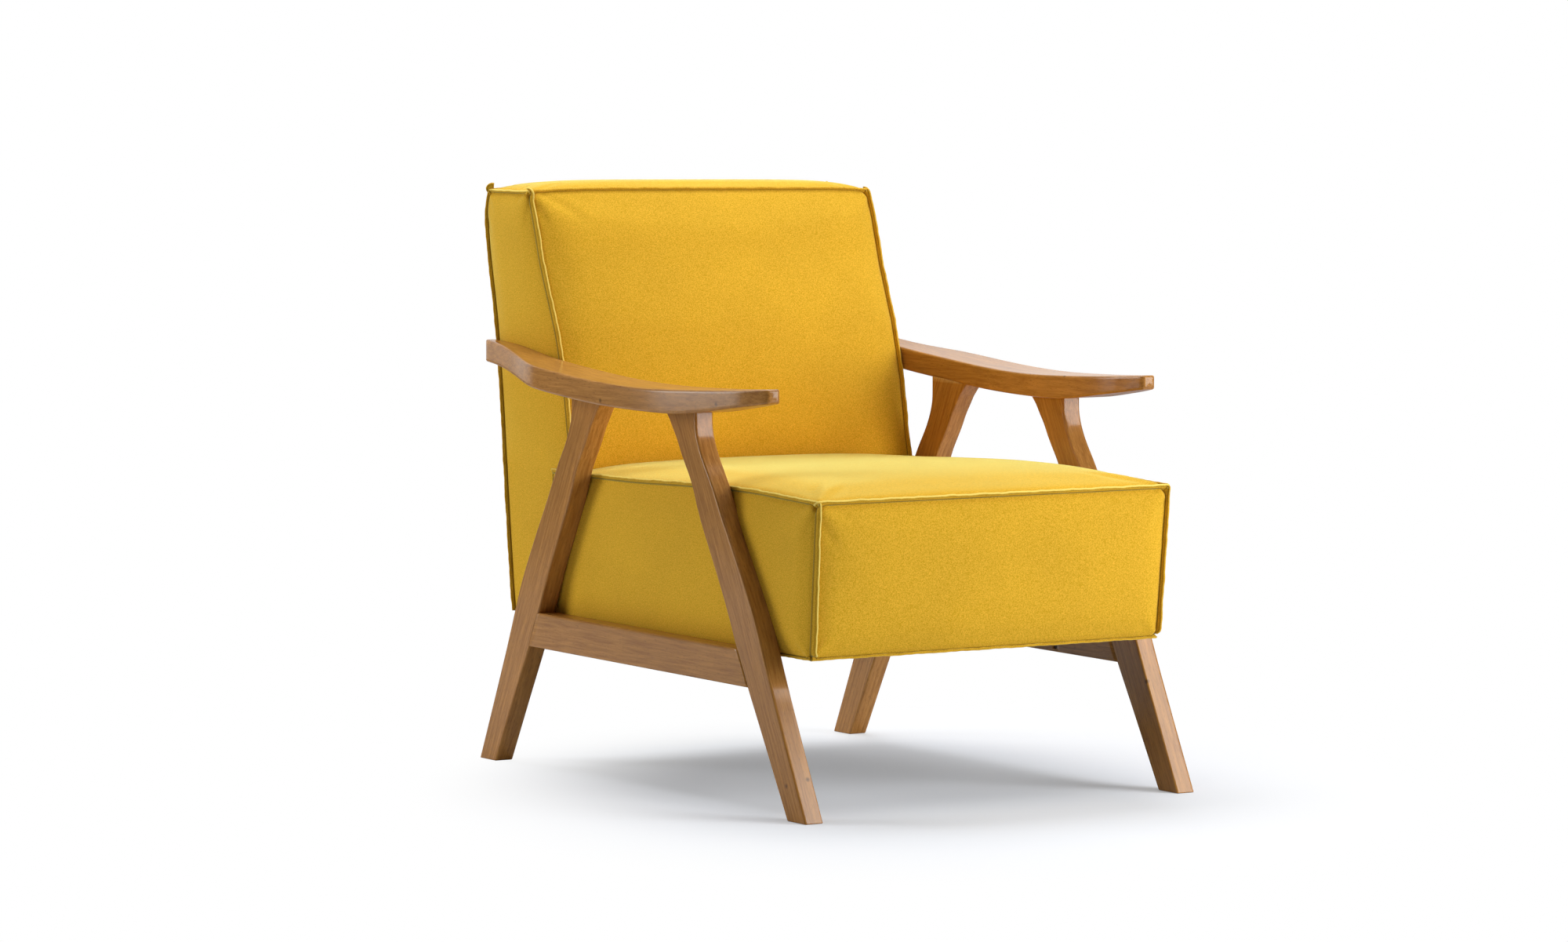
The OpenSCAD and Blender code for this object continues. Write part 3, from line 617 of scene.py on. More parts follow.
def plump(grid, u, v, rise, shoulder, pillow, outward=None, power=2.6):
    """Bulges a panel: a broad crown, a shoulder some 35 mm wide and a quick
    roll beside each seam. u and v may pass 1 where a panel has no seam"""
    wide = np.linalg.norm(grid[-1, 0] - grid[0, 0])
    tall = np.linalg.norm(grid[0, -1] - grid[0, 0])
    crown = [1 - np.abs(2 * np.clip(t, 0, 1) - 1) ** power for t in (u, v)]
    lift = rise * crown[0][:, None] * crown[1][None]
    for size, reach in ((shoulder, 35.0), (pillow, 8.0)):
        a, b = (1 - np.exp(-np.minimum(t, 1 - t).clip(0) * span / reach)
            for t, span in ((u, wide), (v, tall)))
        lift = lift + size * a[:, None] * b[None]
    way = normals(grid) if outward is None else np.array(outward, float)
    return grid + lift[..., None] * way


def refined(grid, factor=2):
    """A finer grid through the same points, smooth between them"""
    for axis in (0, 1):
        grid = np.moveaxis(grid, axis, 0)
        n = len(grid)
        at = np.arange((n - 1) * factor + 1) / factor
        i = np.minimum(at.astype(int), n - 2)
        t = (at - i).reshape((-1,) + (1,) * (grid.ndim - 1))
        before = 2 * grid[:1] - grid[1:2]
        after = 2 * grid[-1:] - grid[-2:-1]
        wide = np.concatenate([before, grid, after])
        a, b, c, d = (wide[i + k] for k in range(4))
        grid = 0.5 * (2 * b + (c - a) * t + (2 * a - 5 * b + 4 * c - d)
            * t * t + (3 * b - a - 3 * c + d) * t ** 3)
        grid = np.moveaxis(grid, 0, axis)
    return grid


def smooth_line(points, factor):
    """A finer line through pairs of numbers"""
    line = np.array(points, float)
    return refined(line[:, None].repeat(2, 1), factor)[:, 0]


def welded(grids):
    """Joins panels at their shared seam points. Gives the points, the faces
    and, for each panel, the index of each of its points"""
    found, points, faces, index = {}, [], [], {}
    for name, grid in grids.items():
        n, m = grid.shape[:2]
        flat = grid.reshape(-1, 3)
        ids = np.empty(len(flat), int)
        keys = np.round(flat / 0.05).astype(int).tolist()
        for k, (x, y, z) in enumerate(keys):
            hit = None
            border = k // m in (0, n - 1) or k % m in (0, m - 1)
            if border:
                near = ((x + a, y + b, z + c)
                    for a, b, c in product((0, -1, 1), repeat=3))
                hit = next((found[key] for key in near if key in found),
                    None)
            if hit is None:
                hit = len(points)
                points.append(flat[k])
                if border:
                    found[x, y, z] = hit
            ids[k] = hit
        index[name] = ids.reshape(n, m)
        faces += quads(index[name])
    return np.array(points), faces, index


FILL_STEPS = 20
FILLING = {"quality": 6, "mass": 0.3, "tension_stiffness": 12,
    "compression_stiffness": 12, "shear_stiffness": 5,
    "bending_stiffness": 0.4, "use_pressure": True,
    "uniform_pressure_force": 4.0, "vertex_group_mass": "held"}


def inflated(name, grids, free, cap, uncut=()):
    """Fills a sewn shell with air under cloth simulation, its seams held.
    Only the panels named in free may move, and no point beyond cap mm.
    uncut lists borders, as panel and row, where the cloth runs on"""
    points, faces, index = welded(grids)
    faces = [f for f in faces if len(set(f)) == 4]
    held = np.ones(len(points), bool)
    for panel in free:
        held[index[panel][1:-1, 1:-1]] = False
    for panel, row in uncut:
        held[index[panel][1:-1, row]] = False
    mesh = bpy.data.meshes.new(name)
    mesh.from_pydata((points / 1000).tolist(), [], faces)
    shell = place_object(name, mesh)
    scene = bpy.context.scene
    group = shell.vertex_groups.new(name="held")
    group.add(np.flatnonzero(held).tolist(), 1.0, "REPLACE")
    cloth = shell.modifiers.new("filling", "CLOTH")
    for key, value in FILLING.items():
        setattr(cloth.settings, key, value)
    cloth.settings.effector_weights.gravity = 0
    cloth.point_cache.frame_start = 1
    cloth.point_cache.frame_end = FILL_STEPS
    for step in range(1, FILL_STEPS + 1):
        scene.frame_set(step)
    view = bpy.context.evaluated_depsgraph_get()
    moved = coordinates(shell.evaluated_get(view).to_mesh()) * 1000
    bpy.data.objects.remove(shell)
    scene.frame_set(1)
    shift = moved - points
    size = np.linalg.norm(shift, axis=1, keepdims=True)
    soft = cap * np.tanh(size / cap) / np.maximum(size, 1e-9)
    points = points + np.where(held[:, None], 0, shift * soft)
    return {panel: points[ids] for panel, ids in index.items()}


def cloth_places(grid):
    """Distance along and across a panel at each point, in metres"""
    du = np.linalg.norm(np.diff(grid, axis=0, prepend=grid[:1]), axis=2)
    dv = np.linalg.norm(np.diff(grid, axis=1, prepend=grid[:, :1]), axis=2)
    u, v = np.cumsum(du, 0) / 1000, np.cumsum(dv, 1) / 1000
    return np.stack([u, v, np.zeros_like(u)], -1)


def seam_distance(grid, uncut=""):
    """Distance of each point of a panel to the nearest seam, in mm. uncut
    is low or high where the cloth runs on past that border of the panel"""
    places = cloth_places(grid) * 1000
    u, v = places[..., 0], places[..., 1]
    low = v + (1e3 if uncut == "low" else 0)
    high = v[:, -1:] - v + (1e3 if uncut == "high" else 0)
    return np.minimum(np.minimum(u, u[-1:] - u), np.minimum(low, high))


def sewn(name, parts, material, replaces):
    """One piece of cloth from lists of points, faces, places and painted shade
    and highlight
    """
    points, faces, cloth, fold = zip(*parts)
    starts = np.cumsum([0] + [len(p) for p in points]).tolist()
    faces = [tuple(i + start for i in face)
        for start, part in zip(starts, faces) for face in part]
    return make_piece(name, to_frame(np.concatenate(points)), faces,
        material, replaces,
        {"cloth": np.concatenate(cloth), "fold": np.concatenate(fold)})


def sewn_body(name, grids, material, replaces, uncut=()):
    """The cushion's own cloth: its panels, drawn in at the stitching"""
    uncut, parts = dict(uncut), []
    for panel, grid in grids.items():
        fine = refined(grid)
        d = seam_distance(fine, uncut.get(panel, ""))
        dip = 0.55 * np.exp(-((d - 4.3) / 0.9) ** 2) + 1.2 * np.exp(-d / 1.3)
        fine = fine - (dip * (d > 0))[..., None] * normals(fine)
        # each panel is cut from another place of the cloth
        parts.append((fine.reshape(-1, 3),
            quads(np.arange(d.size).reshape(d.shape)),
            cloth_places(fine).reshape(-1, 3) + 0.37 * (len(parts) + 1),
            # painted shade beside each seam, darkest at the stitching and gone
            # 3.4 mm away
            -np.clip(1 - d / 3.4, 0, 1).ravel() ** 1.5))
    piece = sewn(name, parts, material, replaces)


def resampled(line, step):
    """Points about a step apart along a line"""
    run = distances(line)
    n = max(int(run[-1] / step), 4)
    return points_at(np.linspace(0, run[-1], n + 1), run, line)


def straight(*corners):
    """Points 4 mm apart along straight lines from corner to corner"""
    return resampled(np.array(corners, float), 4.0)


def ripple(at, seed, *waves):
    """A smooth unplanned wander along a seam: amplitude and length pairs"""
    total = np.zeros_like(at)
    for k, (size, length) in enumerate(waves):
        phase = math.sin(seed * 12.9 + k * 4.1) * 7
        total += size * np.sin(2 * math.pi * at / length + phase)
    return total


# Half of a flange's outline, from the cushion to its folded edge: share of
# the width and mm past it, half the thickness, and the painted shade (below 0)
# or painted highlight (above 0) there
FIN = ((0, -1.6, 0.9, -1), (0, 0.3, 0.7, -0.9), (0, 1.4, 1.0, -0.4),
    (0.5, -0.9, 1.05, 0), (1, -3.3, 1.0, -0.1), (1, -2.6, 0.60, -0.7),
    (1, -1.9, 1.1, -0.2), (1, -0.9, 1.2, 0.0), (1, -0.25, 0.8, 0.8),
    (1, 0.0, 0.0, 1))
FIN_THICK = 2.3
FIN_STEP = 2.2
STITCH = 4.2
PLEATED = 16.0


def fin(base, outer, thickness, seed, pleats=(0, 0), glint=1.0, knot=()):
    """A sewn flange between the line where it leaves the cushion and its
    folded edge, pinched along its stitching. glint scales the painted
    highlight on that edge; knot holds distances from its end and the share of
    the width left there. Points, faces, places and painted shade and
    highlight, in mm"""
    middle = 0.4 * base + 0.6 * outer
    run = distances(middle)
    n = 1 + int(run[-1] / FIN_STEP)
    at = np.linspace(0, run[-1], n)
    base, outer, middle = (points_at(at, run, line)
        for line in (base, outer, middle))
    out = outer - base
    width = np.linalg.norm(out, axis=1)
    out = unit(out)
    side = unit(np.cross(unit(np.gradient(middle, axis=0)), out))
    wave = ripple(at, seed, (0.35, 47), (0.22, 23), (0.1, 9.5))
    ends = [np.exp(-(d / PLEATED) ** 2) for d in (at, at[-1] - at)]
    fold = sum(k * e for k, e in zip(pleats, ends)) * np.sin(
        at * 2 * math.pi / STITCH)
    width = width + ripple(at, seed + 3, (0.22, 61), (0.15, 17))
    if knot:
        width = width * np.interp(at[-1] - at, *zip(*knot))
    grow = thickness / FIN_THICK
    points, cloth, shade = [], [], []
    for i, w in enumerate(width):
        # the painted highlight on the folded edge, scaled by glint, and
        # painted shade in the troughs of the pleats
        rows = [(share * w + past, half * grow,
            (f * glint if f > 0 else f) - 0.5 * max(-fold[i], 0))
            for share, past, half, f in FIN]
        ring = rows + [(u, -h, f) for u, h, f in rows[-2::-1]]
        for u, h, f in ring:
            bend = wave[i] * max(u, 0) / w
            web = fold[i] * math.sin(min(max(u / w, 0), 1) * math.pi)
            points.append(base[i] + out[i] * u + side[i] * (h + bend + web))
            cloth.append((at[i] / 1000, (u + h) / 1000, 0))
            shade.append(f)
    return (np.array(points), lofted(n, len(ring)), np.array(cloth),
        np.array(shade))


EAR_STEPS = np.linspace(0.2, 1.75, 8)[:, None]


def seam_fin(line, base, ways, width, seed, ends, thickness, share=1.0,
        taper=(1, 1), tuck=0.0, **how):
    """A flange along a seam. ways holds the outward directions of the two
    panels it joins, share how far it turns from the first to the second,
    ends how far its ear stands past each end of the line, taper its width
    at each end, and tuck over how many mm it follows the seam at its start"""
    step = 2.0
    out = unit(np.array(ways[0], float) + share * np.array(ways[1]))
    base, line = resampled(base, step), resampled(line, step)
    at = np.linspace(0, 1, len(base))
    over = points_at(at, np.linspace(0, 1, len(line)), line)
    if tuck:
        reach = tuck / (step * len(base))
        near = np.clip(1 - at / reach, 0, 1)[:, None] ** 0.7
        over = over + near * (base - over)
    wide = width * np.linspace(*taper, len(at))[:, None]
    outer = over + out * wide
    # each end turns round the corner of the cushion as a small ear
    for end, ear in ((0, ends[0]), (-1, ends[1])):
        if ear < 1:
            continue
        ahead = unit(line[end] - line[1 if end == 0 else -2])
        radius = wide[end] + (ear - wide[end]) * np.sin(EAR_STEPS)
        fan = over[end] + radius * (np.cos(EAR_STEPS) * out
            + np.sin(EAR_STEPS) * ahead)
        foot = base[end] + 0.02 * EAR_STEPS * ahead
        if end == 0:
            outer = np.concatenate([fan[::-1], outer])
            base = np.concatenate([foot[::-1], base])
        else:
            outer = np.concatenate([outer, fan])
            base = np.concatenate([base, foot])
    return fin(base, outer, thickness, seed, **how)


def sewn_fins(name, rows, line, seams, sizes, material, replaces):
    """A cushion's flanges as one piece, from rows of a seam's name, its
    outward ways, the share of the full width, a seed, its ears and the rest"""
    sewn(name, [seam_fin(line[at], seams[at], ways,
        sizes.fin * 1000 * share, seed, ends, sizes.fin_thickness * 1000,
        **how) for at, ways, share, seed, ends, how in rows],
        material, replaces)


def mirrored(line):
    return np.asarray(line, float) * (-1, 1, 1)


def both_sides(lines):
    """Adds the lines of the far side, at -X"""
    lines.update({"far_" + name: mirrored(p) for name, p in lines.items()})


def settled(points, move, along, rises, across, low, high):
    """Lets the sewn cover ride out or sink a little. The points move along
    one axis by the rises, place and mm pairs read along another; in full
    where their place across is above high, not at all below low"""
    points = np.array(points, float)
    at, rise = smooth_line(rises, 8).T
    share = np.clip((points[..., across] - low) / (high - low), 0, 1) ** 2
    points[..., move] += share * np.interp(points[..., along], at, rise)
    return points


def all_settled(groups, *how):
    """The same shift for every panel and seam of a cushion"""
    return [{name: settled(p, *how) for name, p in group.items()}
        for group in groups]


# Seat: corners of its seams on the +X side
SEAT_HALF_TOP = 269.0
SEAT_HALF_LOW = 266.5
SEAT_FRONT = -389.0
SEAT_LOW_FRONT = -371.0
SEAT_REAR = 264.0
SEAT_SEAM_Z = 396.5
SEAT_LOW_Z = 202.5
SEAT_CORNER = 15.0
SEAT_CORNER_LOW = 11.0
# how far the top runs on under the back
SEAT_HIDDEN = 65
SEAT_SAG = 6.5
# how far the top has been drawn up along the seat, from the front: y, rise
SEAT_ARCH = ((-389, 0.3), (-370, 1.0), (-315, 3.3), (-241, 6.2),
    (-150, 6.6), (-51, 4.3), (38, 1.8), (98, 1.1), (264, 1.0))


def seat_grids():
    """The seat's panels before it is filled, its seams and their lines"""
    ft = (SEAT_HALF_TOP, SEAT_FRONT, SEAT_SEAM_Z)
    fl = (SEAT_HALF_LOW, SEAT_LOW_FRONT, SEAT_LOW_Z)
    rt = (SEAT_HALF_TOP, SEAT_REAR, SEAT_SEAM_Z)
    rl = (SEAT_HALF_LOW, SEAT_REAR, SEAT_LOW_Z)
    u = marks(2 * SEAT_HALF_TOP)
    v = marks(SEAT_REAR - SEAT_FRONT)
    w = marks(SEAT_SEAM_Z - SEAT_LOW_Z)
    r, q = SEAT_CORNER, SEAT_CORNER_LOW
    line, s = sewn_lines([(name, straight(*ends), *how)
        for name, ends, *how in (
            ("top_front", (mirrored(ft), ft), u, (DOWN, BACK), r, r),
            ("low_front", (mirrored(fl), fl), u, (UP, BACK), q, q),
            ("top_rear", (mirrored(rt), rt), u, (DOWN, AHEAD)),
            ("low_rear", (mirrored(rl), rl), u, (UP, AHEAD)),
            ("top_side", (ft, rt), v, (DOWN, IN), r),
            ("low_side", (fl, rl), v, (UP, IN), q),
            ("front_side", (fl, ft), w, (BACK, IN), q, r),
            ("rear_side", (rl, rt), w, (AHEAD, IN)),
        )])
    s["top_rear"][:, Z] += SEAT_SAG * (1 - np.abs(2 * u - 1) ** 2.6)
    both_sides(s)
    both_sides(line)
    grids = panels(s, (
        ("top", "top_front top_rear far_top_side top_side", u, v),
        ("front", "low_front top_front far_front_side front_side", u, w),
        ("left", "low_side top_side front_side rear_side", v, w),
        ("right", "far_top_side far_low_side -far_front_side "
            "-far_rear_side", v, w),
        ("under", "low_rear low_front -far_low_side -low_side", u,
            from_far_end(v)),
        ("rear", "top_rear low_rear -far_rear_side -rear_side", u,
            from_far_end(w)),
    ))
    far = (SEAT_REAR + SEAT_HIDDEN - SEAT_FRONT) / (SEAT_REAR - SEAT_FRONT)
    grids["top"] = plump(grids["top"], u, v / far, 3.0, 8.5, 3.0,
        outward=UP)
    fade = np.linspace(0, 1, len(v)) ** 3
    grids["top"][..., Z] -= (fade[None] * (grids["top"][:, -1:, Z]
        - s["top_rear"][:, None, Z]))
    flat = grids["under"][1:-1, 1:-1]
    flat[..., Z] = np.maximum(flat[..., Z], SEAT_LOW_Z)
    grids["front"] = plump(grids["front"], u, w, 2.0, 3.6, 2.2)
    for side in ("left", "right"):
        grids[side] = plump(grids[side], v, w, 0.6, 1.0, 1.5)
    return all_settled((grids, s, line), Z, Y, SEAT_ARCH, Z, 290, 390)


# Back: its side outline as (y, z), front seam and rear seam from the foot up
BACK_HALF = 268.5
BACK_TOP_Z = 769
BACK_FOOT_Z = 401.5  # its waist: where its front ends, on the seat
BACK_LOW_Z = 203
BACK_FRONT_Y = 214
BACK_STEP_Y = 265.3
BACK_REAR_Y = 367
BACK_FRONT_SEAM = ((BACK_FRONT_Y, BACK_FOOT_Z), (221.5, 435), (235, 510),
    (253.5, 575), (266.5, 607), (294.5, 671), (312.5, 726),
    (327, BACK_TOP_Z))
BACK_REAR_SEAM = ((BACK_REAR_Y, BACK_LOW_Z), (373, 243), (387, 370),
    (397, 476), (409, 571), (417.5, 619), (430, 677), (437.5, 727),
    (437, 748), (430, BACK_TOP_Z))
# the seam as a board inside feels it, without its turn at the top
BACK_BOARD_LINE = BACK_REAR_SEAM[:-2]
# lengths of cloth up the front, and up the rear above and below the waist
BACK_TALL, BACK_REAR_TALL, BACK_LOW_TALL = 372.0, 371, 199
# the step behind the seat, and how much deeper the back is at its waist
BACK_STEP_DEPTH = 51.3
BACK_LOW_FLARE = 22
BACK_CORNER = 13.0
BACK_CORNER_REAR = 9.0
# how far the top rides up or down across the back: x, rise
BACK_BOW = ((-268.5, -0.5), (-250, 1.0), (-164, 2.6), (10, 0.8),
    (188, -1.4), (230, -2.4), (250, -3.6), (268.5, -5.0))
# how much fuller the +X end is stuffed than the other: z, mm outwards
BACK_FULLNESS = ((500, 0), (560, 0.3), (640, 2.6), (700, 4.6), (745, 4.5),
    (769, 3.0))


def along_height(points, z):
    """y of a (y, z) line at heights z, smooth between its points"""
    fine = smooth_line(points, 8)
    order = np.argsort(fine[:, 1])
    return np.interp(z, fine[order, 1], fine[order, 0])


def back_grids():
    """The back's panels before it is filled, its seams and their lines"""
    u = marks(2 * BACK_HALF)
    tall = marks(BACK_TALL)
    low = marks(float(BACK_LOW_TALL))
    deep_low = marks(BACK_REAR_Y - BACK_STEP_Y + BACK_LOW_FLARE,
        fine=(0, 3, 6.5, 11, 17, 25))
    # shares of the step's depth
    step = np.array([0, 3, 6.5, 11, 17, 25, 34, 42.5]) / 51
    front = smooth_line(BACK_FRONT_SEAM, 10)
    rear = smooth_line(BACK_REAR_SEAM, 10)
    foot = (along_height(BACK_BOARD_LINE, BACK_FOOT_Z), BACK_FOOT_Z)
    split = np.argmin(np.abs(rear[:, 1] - BACK_FOOT_Z))

    def at_side(*parts):
        """Points at +X from (y, z) pairs"""
        yz = np.concatenate(parts)
        return np.column_stack([np.full(len(yz), BACK_HALF), yz])

    def side(*ends):
        return straight(*((BACK_HALF, *end) for end in ends))

    def across(y, z):
        return straight((-BACK_HALF, y, z), (BACK_HALF, y, z))

    # share of the depth, front to rear, with a mark where the step is
    k = BACK_STEP_DEPTH / (foot[0] - BACK_FRONT_Y)
    deep = np.r_[step * k, k + deep_low * (1 - k)]
    cut = len(step)
    r, q = BACK_CORNER, BACK_CORNER_REAR
    front_foot = (BACK_FRONT_Y, BACK_FOOT_Z)
    step_foot = (BACK_STEP_Y, BACK_FOOT_Z)
    step_low = (BACK_STEP_Y, BACK_LOW_Z)
    rear_foot = (BACK_REAR_Y, BACK_LOW_Z)
    line, s = sewn_lines((
        ("front_side", at_side(front), tall, (BACK, IN), 0, r),
        ("rear_side", at_side([foot], rear[split + 1 :]), tall,
            (AHEAD, IN), 0, q),
        ("rear_low", at_side(rear[:split], [foot]), low, (AHEAD, IN)),
        ("top_side", side(front[-1], rear[-1]), deep, (DOWN, IN), r, q),
        ("top_front", across(*front[-1]), u, (DOWN, BACK), r, r),
        ("top_rear", across(*rear[-1]), u, (DOWN, AHEAD), q, q),
        ("foot", side(front_foot, foot), deep, (UP, IN)),
        ("low_side", side(step_low, rear_foot), deep_low, (UP, IN)),
        ("step_side", side(step_low, step_foot), low, (BACK, IN)),
        ("low_front", across(*front_foot), u, (UP, BACK)),
        ("step_top", across(*step_foot), u, (UP, BACK)),
        ("step_low", across(*step_low), u, (UP, BACK)),
        ("rear_foot", across(*rear_foot), u, (UP, AHEAD)),
        # the middle of the rear, where the upper and lower halves meet
        ("waist", across(*foot), u, (UP, AHEAD)),
    ))
    s["foot_ahead"], s["foot_behind"] = s["foot"][: cut + 1], s["foot"][cut:]
    both_sides(s)
    both_sides(line)
    tall_down, low_down = from_far_end(tall), from_far_end(low)
    grids = panels(s, (
        ("front", "low_front top_front far_front_side front_side", u, tall),
        ("top", "top_front top_rear far_top_side top_side", u, deep),
        ("left", "foot top_side front_side rear_side", deep, tall),
        ("right", "far_top_side far_foot -far_front_side -far_rear_side",
            deep, tall_down),
        ("left_low", "low_side foot_behind step_side rear_low", deep_low,
            low),
        ("right_low", "far_foot_behind far_low_side -far_step_side "
            "-far_rear_low", deep_low, low_down),
        ("rear", "top_rear waist -far_rear_side -rear_side", u, tall_down),
        ("rear_lower", "waist rear_foot -far_rear_low -rear_low", u,
            low_down),
        ("under", "rear_foot step_low -far_low_side -low_side", u,
            from_far_end(deep_low)),
        ("step", "step_top step_low -far_step_side -step_side", u,
            low_down),
        ("overhang", "low_front step_top far_foot_ahead foot_ahead", u,
            deep[: cut + 1] / deep[cut]),
    ))
    for name in ("step", "overhang"):
        grids[name] = grids[name][:, ::-1]
    # the front bulges as if it ran on a quarter further, behind the seat
    hidden = 0.25
    grids["front"] = plump(grids["front"], u, (tall + hidden) / (1 + hidden),
        12.0, 9.0, 3.0)
    edge = grids["front"][:, 0] - s["low_front"]
    fade = np.clip(1 - tall * BACK_TALL / 60, 0, 1)[None, :, None] ** 2
    grids["front"] = grids["front"] - edge[:, None] * fade
    grids["top"] = plump(grids["top"], u, deep, 0.5, 4.2, 3.2, power=6)
    for name, shares in (("left", tall), ("right", tall_down)):
        grids[name] = plump(grids[name], deep, shares, 0.6, 1.2, 1.6)
    both = BACK_REAR_TALL + BACK_LOW_TALL
    # the liner board is straight where the seam dips in, so the cover rolls
    # out over the board's edge
    board = node_edges("back_liner")
    heights = (250, 700)
    board_y = [(reach(board, Z, h / 1000, Y)[1] - FOOT_MIDDLE) * 1000
        for h in heights]
    for name, shares in (("rear", tall_down * BACK_REAR_TALL / both),
            ("rear_lower",
                (BACK_REAR_TALL + low_down * BACK_LOW_TALL) / both)):
        grids[name] = plump(grids[name], u, shares, 1.5, 2.0, 1.6)
        x, y, z = np.moveaxis(grids[name], -1, 0)
        stand = np.interp(z, heights, board_y) + 0.8 - along_height(
            BACK_BOARD_LINE, z)
        grids[name][..., Y] += np.clip(stand, 0, 9) * (1
            - np.exp(-(BACK_HALF - np.abs(x)) / 2.5))
    grids["rear_lower"] = grids["rear_lower"] + (
        grids["rear"][:, -1] - grids["rear_lower"][:, 0])[:, None] * (
        np.clip(1 - low * 4, 0, 1)[None, :, None])
    groups = all_settled((grids, s, line), Z, X, BACK_BOW, Z, 660, 768)
    return all_settled(groups, X, Z, BACK_FULLNESS, X, 130, BACK_HALF)


# --- the underside -------------------------------------------------------

HEM = 0.012
STAPLE_PITCH = 0.048
# half length, half thickness and rise of a staple's crown
STAPLE = (0.0050, 0.0006, 0.0005)


def build_dust_cover(material, steel):
    """The cloth under the chair: its edge folded in, stapled all round and
    hanging a little slack between the staples"""
    low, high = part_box("dust_cover")
    wide, long = high.x - low.x, high.y - low.y
    n, m = 97, 141
    u, v = np.meshgrid(np.linspace(0, 1, n), np.linspace(0, 1, m),
        indexing="ij")
    du, dv = np.minimum(u, 1 - u) * wide, np.minimum(v, 1 - v) * long
    edge = np.minimum(du, dv)
    counts = [round((size - HEM) / STAPLE_PITCH) for size in (wide, long)]
    runs = [((size * t - HEM / 2) / (size - HEM)) * k
        for size, t, k in zip((wide, long), (u, v), counts)]
    along = np.where(du < dv, runs[1], runs[0])
    slack = 0.0011 * (0.5 - 0.5 * np.cos(2 * math.pi * along))
    sag = 0.0045 * (1 - np.exp(-(edge / 0.07) ** 2))
    drop = (0.0016 + sag + slack * np.exp(-np.abs(edge - HEM / 2) / 0.012)
        + 0.0005 / (1 + np.exp((edge - HEM) / 0.0006)))
    points = np.stack([low.x + u * wide, low.y + v * long, high.z - drop],
        -1)
    faces = [(a, d, c, b)
        for a, b, c, d in quads(np.arange(n * m).reshape(n, m))]
    sheet = make_piece("dust_sheet", points.reshape(-1, 3), faces, material,
        ["dust_cover"])

    # each staple: a flat wire crown, half across the line of the edge
    crowns, faces = [], []
    half, thick, rise = STAPLE
    for axis, count in enumerate(counts):
        size, other = ((wide, long), (long, wide))[axis]
        for k, far in product(range(count + 1), (HEM / 2, other - HEM / 2)):
            place = HEM / 2 + (size - HEM) * k / count
            x, y = (place, far) if axis == 0 else (far, place)
            turn = 0.25 * math.sin(7.3 * k + 3 * far / other) + (
                0.0 if axis == 0 else math.pi / 2)
            way = np.array((math.cos(turn), math.sin(turn), 0))
            flank = np.array((-way[1], way[0], 0))
            centre = np.array((low.x + x, low.y + y, high.z - 0.0025))
            faces += [tuple(len(crowns) + i for i in face)
                for face in lofted(2, 4)]
            for z, inset in ((0, 0.86), (rise, 1)):
                for a, b in ((-1, -1), (1, -1), (1, 1), (-1, 1)):
                    crowns.append(centre + way * half * a * inset
                        + flank * thick * b * inset
                        + np.array((0, 0, z - rise / 2)))
    staples = make_piece("dust_staples", crowns, faces, steel)
    staples.data.shade_flat()


# --- operators -----------------------------------------------------------


class ARMCHAIR_OT_side_frames(bpy.types.Operator):
    """Rounds and stains the arms, legs and side rails"""

    bl_idname = "armchair.side_frames"
    bl_label = "Side frames"

    def execute(self, context):
        sizes = context.scene.armchair_wood
        beech = stained_beech("Stained beech", sizes.stain)
        for side in ("left", "right"):
            for leg, lean in (("_front_leg", 0.5), ("_rear_leg", -0.5)):
                build_leg(side + leg, beech, sizes.edge, lean)
            build_arm(side + "_arm", beech, sizes.edge)
            build_rail(side + "_side_rail", beech, sizes.edge)
        return {"FINISHED"}


class ARMCHAIR_OT_seat(bpy.types.Operator):
    """Fills and sews the seat cushion"""

    bl_idname = "armchair.seat"
    bl_label = "Seat"

    def execute(self, context):
        sizes = context.scene.armchair_cover
        cloth = velour("Velour", sizes.colour, sizes.thread)
        grids, s, line = seat_grids()
        grids = inflated("seat_fill", grids, ("top", "front", "left",
            "right"), 2.5)
        sewn_body("seat_cushion", grids, cloth, ["seat_cover", "seat_foam",
            "seat_front_padding", "seat_left_padding",
            "seat_right_padding"])
        run = sizes.fin * 1000 * 0.7
        rows = [
            ("top_front", (UP, AHEAD), 1, 1, (run, run),
                {"pleats": (0.5, 1.3)}),
            # the cover's lower edge, rolled under and stapled
            ("low_front", (DOWN, AHEAD), 0.5, 2, (0, 0),
                {"share": 0.3, "pleats": (0.7, 0.5), "glint": 0.2}),
        ]
        for sign, at, taper, glint in ((1, "", (1.15, 0.95), 0.0),
                (-1, "far_", (1.5, 1.15), 1.0)):
            out = (sign, 0, 0)
            # the flange leans towards +X on both sides
            rows += [
                (at + "top_side", (UP, out), 0.85, 5 + sign, (run, 0),
                    {"share": 0.5, "pleats": (0.8, 0)}),
                (at + "front_side", (AHEAD, out), 1, 9 + sign, (0.5, run),
                    {"share": 0.3 * sign, "pleats": (0.3, 1.3),
                        "taper": taper, "tuck": 16, "glint": glint}),
                (at + "low_side", (DOWN, out), 0.45, 13 + sign, (0, 0),
                    {"share": 0.2, "glint": 0.2}),
            ]
        sewn_fins("seat_seams", rows, line, s, sizes, cloth, ["seat_welt"])
        return {"FINISHED"}


